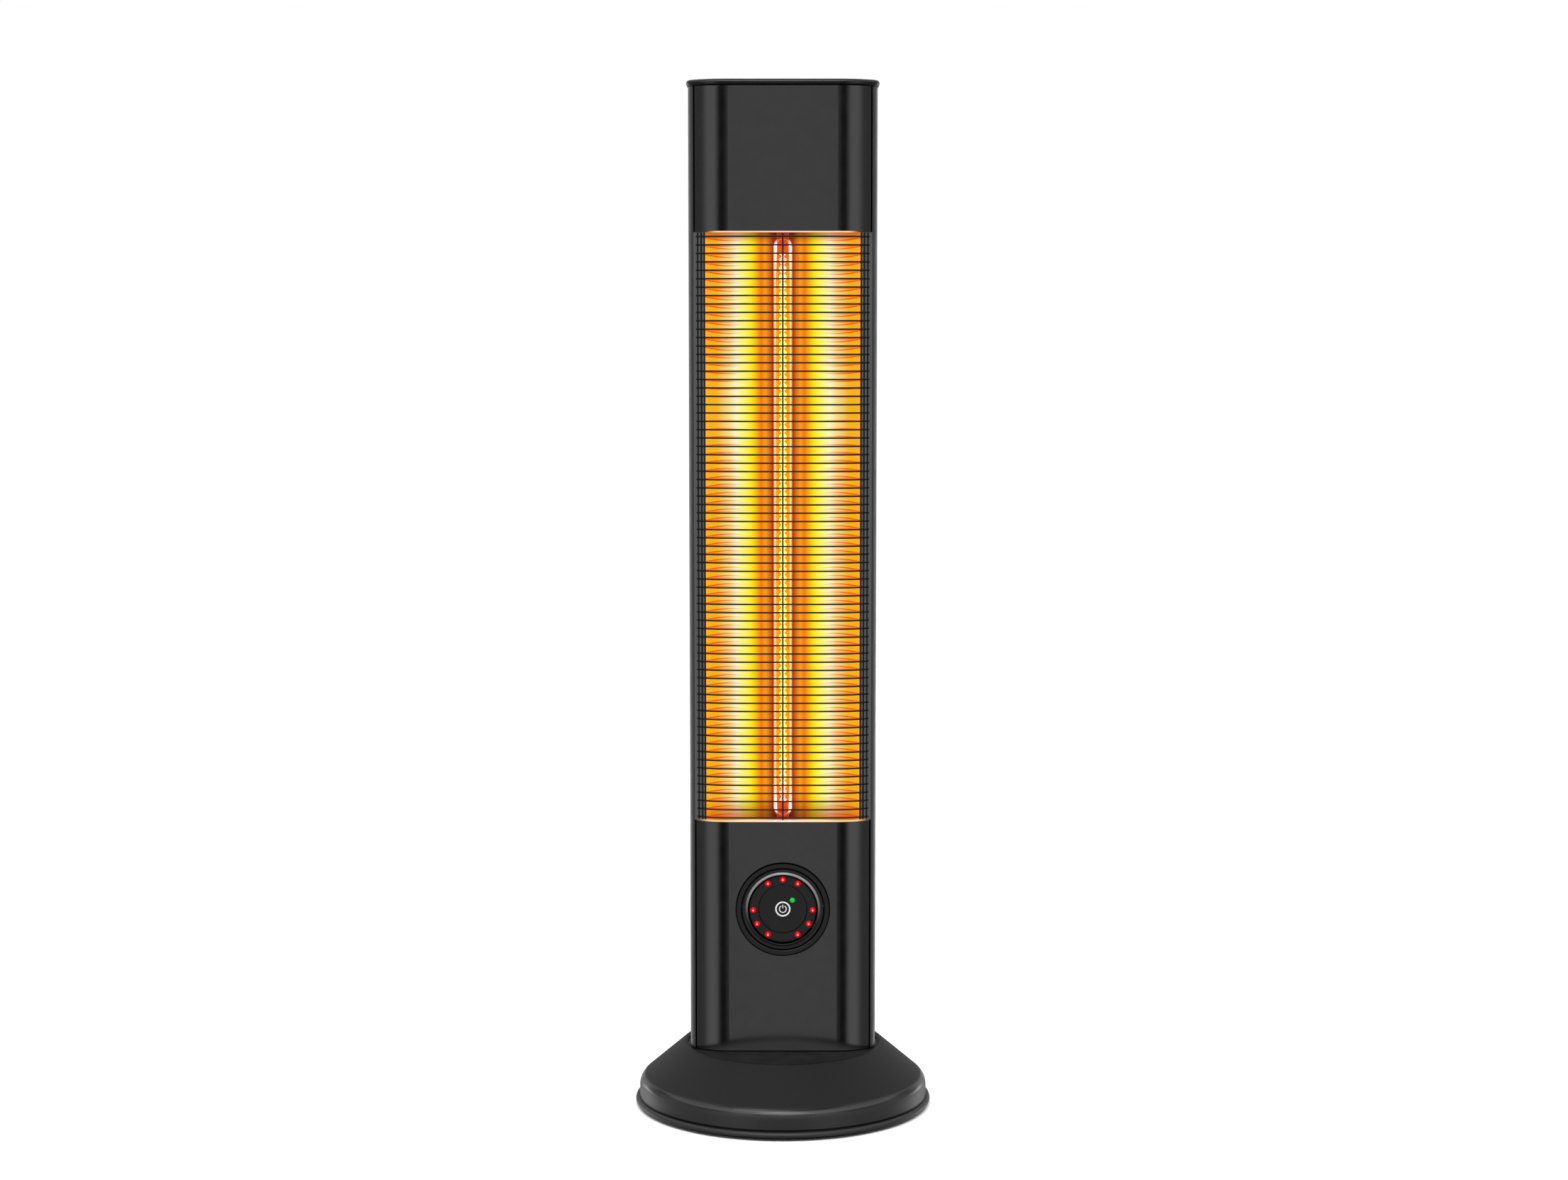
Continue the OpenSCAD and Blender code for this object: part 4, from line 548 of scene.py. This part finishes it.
# Indicators: each dome has a small hot spot on its crown and darkens towards its rim
lensSet = {
    "rim": -0.0329, "crown": -0.0350, "strength": 0.85,
    # deep, main and hot colour
    "red_indicators": ("redLens", (70, 0, 4), (218, 4, 18), (255, 190, 180)),
    "green_indicator": ("greenLens", (0, 70, 20), (36, 196, 70), (120, 240, 150)),
}
for node in ("red_indicators", "green_indicator"):
    name, deep, colour, hot = lensSet[node]
    lens, tree, surface = newMaterial(name, 0.1, screenColour(*deep))
    surface.inputs["Specular IOR Level"].default_value = 0.15
    crown = remap(tree, objectAxes(tree)["Y"], lensSet["rim"], lensSet["crown"], 0, 1)
    dome = screenRamp(tree, crown, [(0.0, deep), (0.45, colour), (0.93, colour), (0.985, hot)])
    glowWith(tree, surface, dome, lensSet["strength"])
    dress(lens, node)
print("stage done: lit finishes")


def addPiece(name, mesh, body, slot, *replaced):
    piece = bpy.data.objects.new(name, mesh)
    bpy.context.scene.collection.objects.link(piece)
    if replaced:
        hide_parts(*replaced)
    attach(piece, body)
    return piece


# Turns an edited shape into a mesh of one material
def closeShape(shape, name, material):
    mesh = bpy.data.meshes.new(name)
    shape.to_mesh(mesh)
    shape.free()
    mesh.materials.append(material)
    return mesh


def newTree(name, sockets):
    tree = bpy.data.node_groups.new(name, "GeometryNodeTree")
    tree.interface.new_socket("Geometry", in_out="INPUT", socket_type="NodeSocketGeometry")
    for label, kind in sockets.items():
        tree.interface.new_socket(label, in_out="INPUT", socket_type="NodeSocket" + kind)
    tree.interface.new_socket("Geometry", in_out="OUTPUT", socket_type="NodeSocketGeometry")
    return tree, tree.nodes.new("NodeGroupInput").outputs, tree.nodes.new("NodeGroupOutput").inputs["Geometry"]


def alongZ(tree, value):
    return addNode(tree, "ShaderNodeCombineXYZ", {"Z": value})


def spreadOut(tree, points, instance):
    placed = addNode(tree, "GeometryNodeInstanceOnPoints", {"Points": points, "Instance": instance})
    return addNode(tree, "GeometryNodeRealizeInstances", {"Geometry": placed})


def coated(tree, geometry, finish):
    return addNode(tree, "GeometryNodeSetMaterial", {"Geometry": geometry, "Material": finish})


def growPiece(name, seed, tree, values, body, slot, *replaced):
    holder = bpy.data.objects.new(name + "Seed", seed)
    bpy.context.scene.collection.objects.link(holder)
    modifier = holder.modifiers.new("grow", "NODES")
    modifier.node_group = tree
    for item in tree.interface.items_tree:
        if item.in_out == "INPUT" and item.name in values:
            modifier[item.identifier] = values[item.name]
    holder.update_tag()
    grown = holder.evaluated_get(bpy.context.evaluated_depsgraph_get())
    mesh = bpy.data.meshes.new_from_object(grown)
    mesh.name = name
    bpy.data.objects.remove(holder)
    return addPiece(name, mesh, body, slot, *replaced)


# Guard: bent wires stacked at one pitch, on upright wires behind them
guardSet = {
    "count": 71, "pitch": 6.32, "first": 230.0, "wire": 0.61, "sides": 8, "front": 33.5, "inset": 1.6,
    "uprightInset": 2.62, "corner": (41.23, 10.5), "cornerRadius": 44.0, "bend": 34.8, "bendSteps": 9,
    "uprightAngles": (25.8, 29.4, 33.9), "uprightLow": 228.1, "uprightHigh": 675.3,
}


# A point of the right-hand bend, seen from above and turned outwards from the flat front
def onBend(inset, angle):
    radius = guardSet["cornerRadius"] - inset
    turn = math.radians(angle)
    return guardSet["corner"][0] + radius * math.sin(turn), guardSet["corner"][1] - radius * math.cos(turn)


rightHalf = [onBend(guardSet["inset"], guardSet["bend"] * step / guardSet["bendSteps"])
             for step in range(guardSet["bendSteps"] + 1)]
wirePath = [(-x * mm, y * mm, 0) for x, y in reversed(rightHalf)] + [(x * mm, y * mm, 0) for x, y in rightHalf]
seed = bpy.data.meshes.new("guardPath")
seed.from_pydata(wirePath, [(i, i + 1) for i in range(len(wirePath) - 1)], [])
tree, entry, leave = newTree("stackedWires", {
    "Wire Count": "Int", "Wire Pitch": "Float", "First Height": "Float", "Wire Radius": "Float", "Finish": "Material",
})
profile = addNode(tree, "GeometryNodeCurvePrimitiveCircle", {
    "Resolution": guardSet["sides"], "Radius": entry["Wire Radius"],
})
wire = addNode(tree, "GeometryNodeCurveToMesh", {
    "Curve": addNode(tree, "GeometryNodeMeshToCurve", {"Mesh": entry["Geometry"]}), "Profile Curve": profile,
    "Fill Caps": True,
})
stack = addNode(tree, "GeometryNodeMeshLine", {
    "Count": entry["Wire Count"], "Start Location": alongZ(tree, entry["First Height"]),
    "Offset": alongZ(tree, entry["Wire Pitch"]),
})
smooth = addNode(tree, "GeometryNodeSetShadeSmooth", {"Geometry": spreadOut(tree, stack, wire)})
linkUp(tree, coated(tree, smooth, entry["Finish"]), leave)
growPiece("guardWires", seed, tree, {
    "Wire Count": guardSet["count"], "Wire Pitch": guardSet["pitch"] * mm, "First Height": guardSet["first"] * mm,
    "Wire Radius": guardSet["wire"] * mm, "Finish": enamelBlack,
}, "column", "guard_wire", "guard_grille")

uprightFoot = guardSet["uprightLow"] * mm
uprights = [(0, (guardSet["uprightInset"] - guardSet["front"]) * mm, uprightFoot)]
for angle in guardSet["uprightAngles"]:
    x, y = onBend(guardSet["uprightInset"], angle)
    uprights += [(-x * mm, y * mm, uprightFoot), (x * mm, y * mm, uprightFoot)]
seed = bpy.data.meshes.new("uprightPlaces")
seed.from_pydata(uprights, [], [])
tree, entry, leave = newTree("uprightWires", {"Wire Length": "Float", "Wire Radius": "Float", "Finish": "Material"})
rod = addNode(tree, "GeometryNodeMeshCylinder", {
    "Vertices": guardSet["sides"], "Depth": entry["Wire Length"], "Radius": entry["Wire Radius"],
})
halfLength = calc(tree, "MULTIPLY", entry["Wire Length"], 0.5)
raised = addNode(tree, "GeometryNodeTransform", {"Geometry": rod, "Translation": alongZ(tree, halfLength)})
linkUp(tree, coated(tree, spreadOut(tree, entry["Geometry"], raised), entry["Finish"]), leave)
growPiece("guardUprights", seed, tree, {
    "Wire Length": (guardSet["uprightHigh"] - guardSet["uprightLow"]) * mm, "Wire Radius": guardSet["wire"] * mm,
    "Finish": enamelBlack,
}, "column", "guard_wire")
print("stage done: guard")

# Filament: a carbon ribbon twisted along the tube, with a lead-out rod at each end
filamentSet = {
    "middle": 449.5, "length": 422.0, "turns": 33, "stepsPerTurn": 16, "width": 5.9, "thickness": 1.3,
    "rod": 0.5, "rodReach": 10.0, "rodSides": 12,
    "weave": 900, "weaveStops": (0.35, 0.6), "warm": ((255, 216, 40), (255, 246, 140)),
    "cool": ((240, 60, 30), (255, 235, 215)), "coolFrom": (0.17, 0.211), "strength": 1.3,
}
hotCarbon, tree, surface = newMaterial("hotCarbon", 0.6, (0.02, 0.02, 0.02))
where = addNode(tree, "ShaderNodeTexCoord", output="Object")
weave = addNode(tree, "ShaderNodeTexNoise", {"Scale": filamentSet["weave"], "Vector": where}, "Fac")
fromMiddle = calc(tree, "ABSOLUTE", calc(tree, "SUBTRACT", axesOf(tree, where)["Z"], filamentSet["middle"] * mm))
warm = screenRamp(tree, weave, zip(filamentSet["weaveStops"], filamentSet["warm"]))
cool = screenRamp(tree, weave, zip(filamentSet["weaveStops"], filamentSet["cool"]))
coolShare = remap(tree, fromMiddle, *filamentSet["coolFrom"], 0, 1, True)
glowWith(tree, surface, blendColour(tree, coolShare, warm, cool), filamentSet["strength"])

seed = bpy.data.meshes.new("filamentSeed")
seed.from_pydata([(0, 0, 0)], [], [])
tree, entry, leave = newTree("twistedRibbon", {
    "Length": "Float", "Turns": "Int", "Width": "Float", "Thickness": "Float", "Finish": "Material",
})
core = addNode(tree, "GeometryNodeCurvePrimitiveLine", {
    "Start": alongZ(tree, calc(tree, "MULTIPLY", entry["Length"], -0.5)),
    "End": alongZ(tree, calc(tree, "MULTIPLY", entry["Length"], 0.5)),
})
ringsNeeded = calc(tree, "MULTIPLY", entry["Turns"], filamentSet["stepsPerTurn"])
turnPerStep = 2 * math.pi / filamentSet["stepsPerTurn"]
twisted = addNode(tree, "GeometryNodeSetCurveTilt", {
    "Curve": addNode(tree, "GeometryNodeResampleCurve", {"Curve": core, "Count": ringsNeeded}),
    "Tilt": calc(tree, "MULTIPLY", addNode(tree, "GeometryNodeInputIndex"), turnPerStep),
})
outline = addNode(tree, "GeometryNodeCurvePrimitiveQuadrilateral", {
    "Width": entry["Width"], "Height": entry["Thickness"],
})
swept = addNode(tree, "GeometryNodeCurveToMesh", {"Curve": twisted, "Profile Curve": outline, "Fill Caps": True})
linkUp(tree, coated(tree, swept, entry["Finish"]), leave)
ribbon = growPiece("filamentRibbon", seed, tree, {
    "Length": filamentSet["length"] * mm, "Turns": filamentSet["turns"], "Width": filamentSet["width"] * mm,
    "Thickness": filamentSet["thickness"] * mm, "Finish": hotCarbon,
}, "column", "filament", "lamp_filament")
for vertex in ribbon.data.vertices:
    vertex.co += Vector((0, lampDepth * mm, filamentSet["middle"] * mm))

shape = bmesh.new()
for side in (-1, 1):
    rodMiddle = filamentSet["middle"] + side * (filamentSet["length"] + filamentSet["rodReach"]) / 2
    bmesh.ops.create_cone(
        shape, cap_ends=True, segments=filamentSet["rodSides"], radius1=filamentSet["rod"] * mm,
        radius2=filamentSet["rod"] * mm, depth=filamentSet["rodReach"] * mm,
        matrix=Matrix.Translation((0, lampDepth * mm, rodMiddle * mm)))
addPiece("leadOutRods", closeShape(shape, "leadOutRods", zincSteel), "column", "filament")
print("stage done: filament")


# Lid and control face: the CAD solids' own shapes with their small facets smoothed away
def smoothCopy(source, name, material, body, slot, reshape=None, sharpFrom=28):
    shape = bmesh.new()
    shape.from_mesh(nodes[source].data)
    bmesh.ops.remove_doubles(shape, verts=shape.verts, dist=1e-6)
    if reshape:
        for vertex in shape.verts:
            reshape(vertex.co)
    bmesh.ops.recalc_face_normals(shape, faces=shape.faces)
    for edge in shape.edges:
        edge.smooth = len(edge.link_faces) == 2 and edge.calc_face_angle(0) < math.radians(sharpFrom)
    for face in shape.faces:
        face.smooth = True
        face.material_index = 0
    return addPiece(name, closeShape(shape, name, material), body, slot, source)


# the bead stands a little further in than on the CAD solid, as the photograph shows it
def moveBead(place):
    z = place.z - controlHeight * mm
    radius = math.hypot(place.x, z)
    beadFrom, beadTo = faceSet["cadBead"]
    if beadFrom * mm < radius < beadTo * mm and place.y < faceSet["cadFront"] * mm:
        scale = (radius - faceSet["shift"] * mm) / radius
        place.x *= scale
        place.z = controlHeight * mm + z * scale


smoothCopy("top_cap", "smoothLid", lidBlack, "column", "lid_plastic")
smoothCopy("control_face", "smoothFace", faceBlack, "column", "control_plastic", moveBead)
print("stage done: lid and face")

# Springs: each presses apart two bodies; its mesh is copied from the CAD node, which is hidden
springSet = {
    "buttonSpring": {
        "node": "button_spring", "bodies": ("column", "button"),
        "start": (0, -27.2, controlHeight), "end": (0, -30.3, controlHeight),
    },
    "plungerSpring": {
        "node": "tip_spring", "bodies": ("base", "plunger"), "start": (-36, 22, 16.8), "end": (-36, 22, 11.1),
    },
}
for name, facts in springSet.items():
    piece = bpy.data.objects.new(name, nodes[facts["node"]].data.copy())
    bpy.context.scene.collection.objects.link(piece)
    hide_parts(facts["node"])
    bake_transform(piece)
print("stage done: springs")

# Printed mark on the button: a ring round the plain power sign
markSet = {
    "face": -32.9, "thick": 0.05, "sunk": 0.05, "ring": (4.75, 5.85), "ringSteps": 72,
    "arc": (2.3, 3.0), "arcGap": 30, "arcSteps": 48, "bar": (0.33, 0.6, 3.3),
}
printWhite = makeFinish("printWhite", (0.3, 0.3, 0.3), 0.4, mottle=0.02, grain=0.05)
# painted glow: the print shines faintly by itself, so it stays bright white
glowWith(printWhite.node_tree, printWhite.node_tree.nodes["Principled BSDF"], grey(1), 0.3)


# A point of the mark, in millimetres from the control's middle and out from the button's face
def markPoint(shape, x, z, lift):
    return shape.verts.new((x * mm, (markSet["face"] - lift) * mm, (controlHeight + z) * mm))


def flatBand(shape, inner, outer, fromAngle, toAngle, steps, low=-markSet["sunk"], high=markSet["thick"]):
    closed = toAngle - fromAngle >= 360
    count = steps if closed else steps + 1
    rows = []
    for k in range(count):
        a = math.radians(fromAngle + (toAngle - fromAngle) * k / steps)
        rows.append([markPoint(shape, r * math.sin(a), r * math.cos(a), lift)
                     for r, lift in ((inner, low), (inner, high), (outer, high), (outer, low))])
    for k in range(count if closed else count - 1):
        here, there = rows[k], rows[(k + 1) % count]
        for e in range(4):
            shape.faces.new((here[e], here[(e + 1) % 4], there[(e + 1) % 4], there[e]))
    if not closed:
        shape.faces.new(rows[0])
        shape.faces.new(list(reversed(rows[-1])))


shape = bmesh.new()
flatBand(shape, *markSet["ring"], 0, 360, markSet["ringSteps"])
flatBand(shape, *markSet["arc"], markSet["arcGap"], 360 - markSet["arcGap"], markSet["arcSteps"])
halfBar, barLow, barHigh = markSet["bar"]
corners = [(-halfBar, barLow), (halfBar, barLow), (halfBar, barHigh), (-halfBar, barHigh)]
outer = [markPoint(shape, x, z, markSet["thick"]) for x, z in corners]
inner = [markPoint(shape, x, z, -markSet["sunk"]) for x, z in corners]
shape.faces.new(outer)
shape.faces.new(list(reversed(inner)))
for k in range(4):
    shape.faces.new((outer[k], inner[k], inner[(k + 1) % 4], outer[(k + 1) % 4]))
bmesh.ops.recalc_face_normals(shape, faces=shape.faces)
addPiece("powerMark", closeShape(shape, "powerMark", printWhite), "button", "control_plastic")
print("stage done: power mark")

# A thin dark ring fills the ring gap between bezel and face as painted shade; without it daylight from the rear vents
# shows through
gapShadeSet = {"inner": 31.31, "outer": 31.48, "low": -1.7, "high": 0.7, "steps": 192}
shape = bmesh.new()
flatBand(shape, gapShadeSet["inner"], gapShadeSet["outer"], 0, 360, gapShadeSet["steps"], gapShadeSet["low"], gapShadeSet["high"])
bmesh.ops.recalc_face_normals(shape, faces=shape.faces)
addPiece("faceGapShade", closeShape(shape, "faceGapShade", darkRubber), "column", "rubber")
print("stage done: face seal")

bpy.context.view_layer.update()
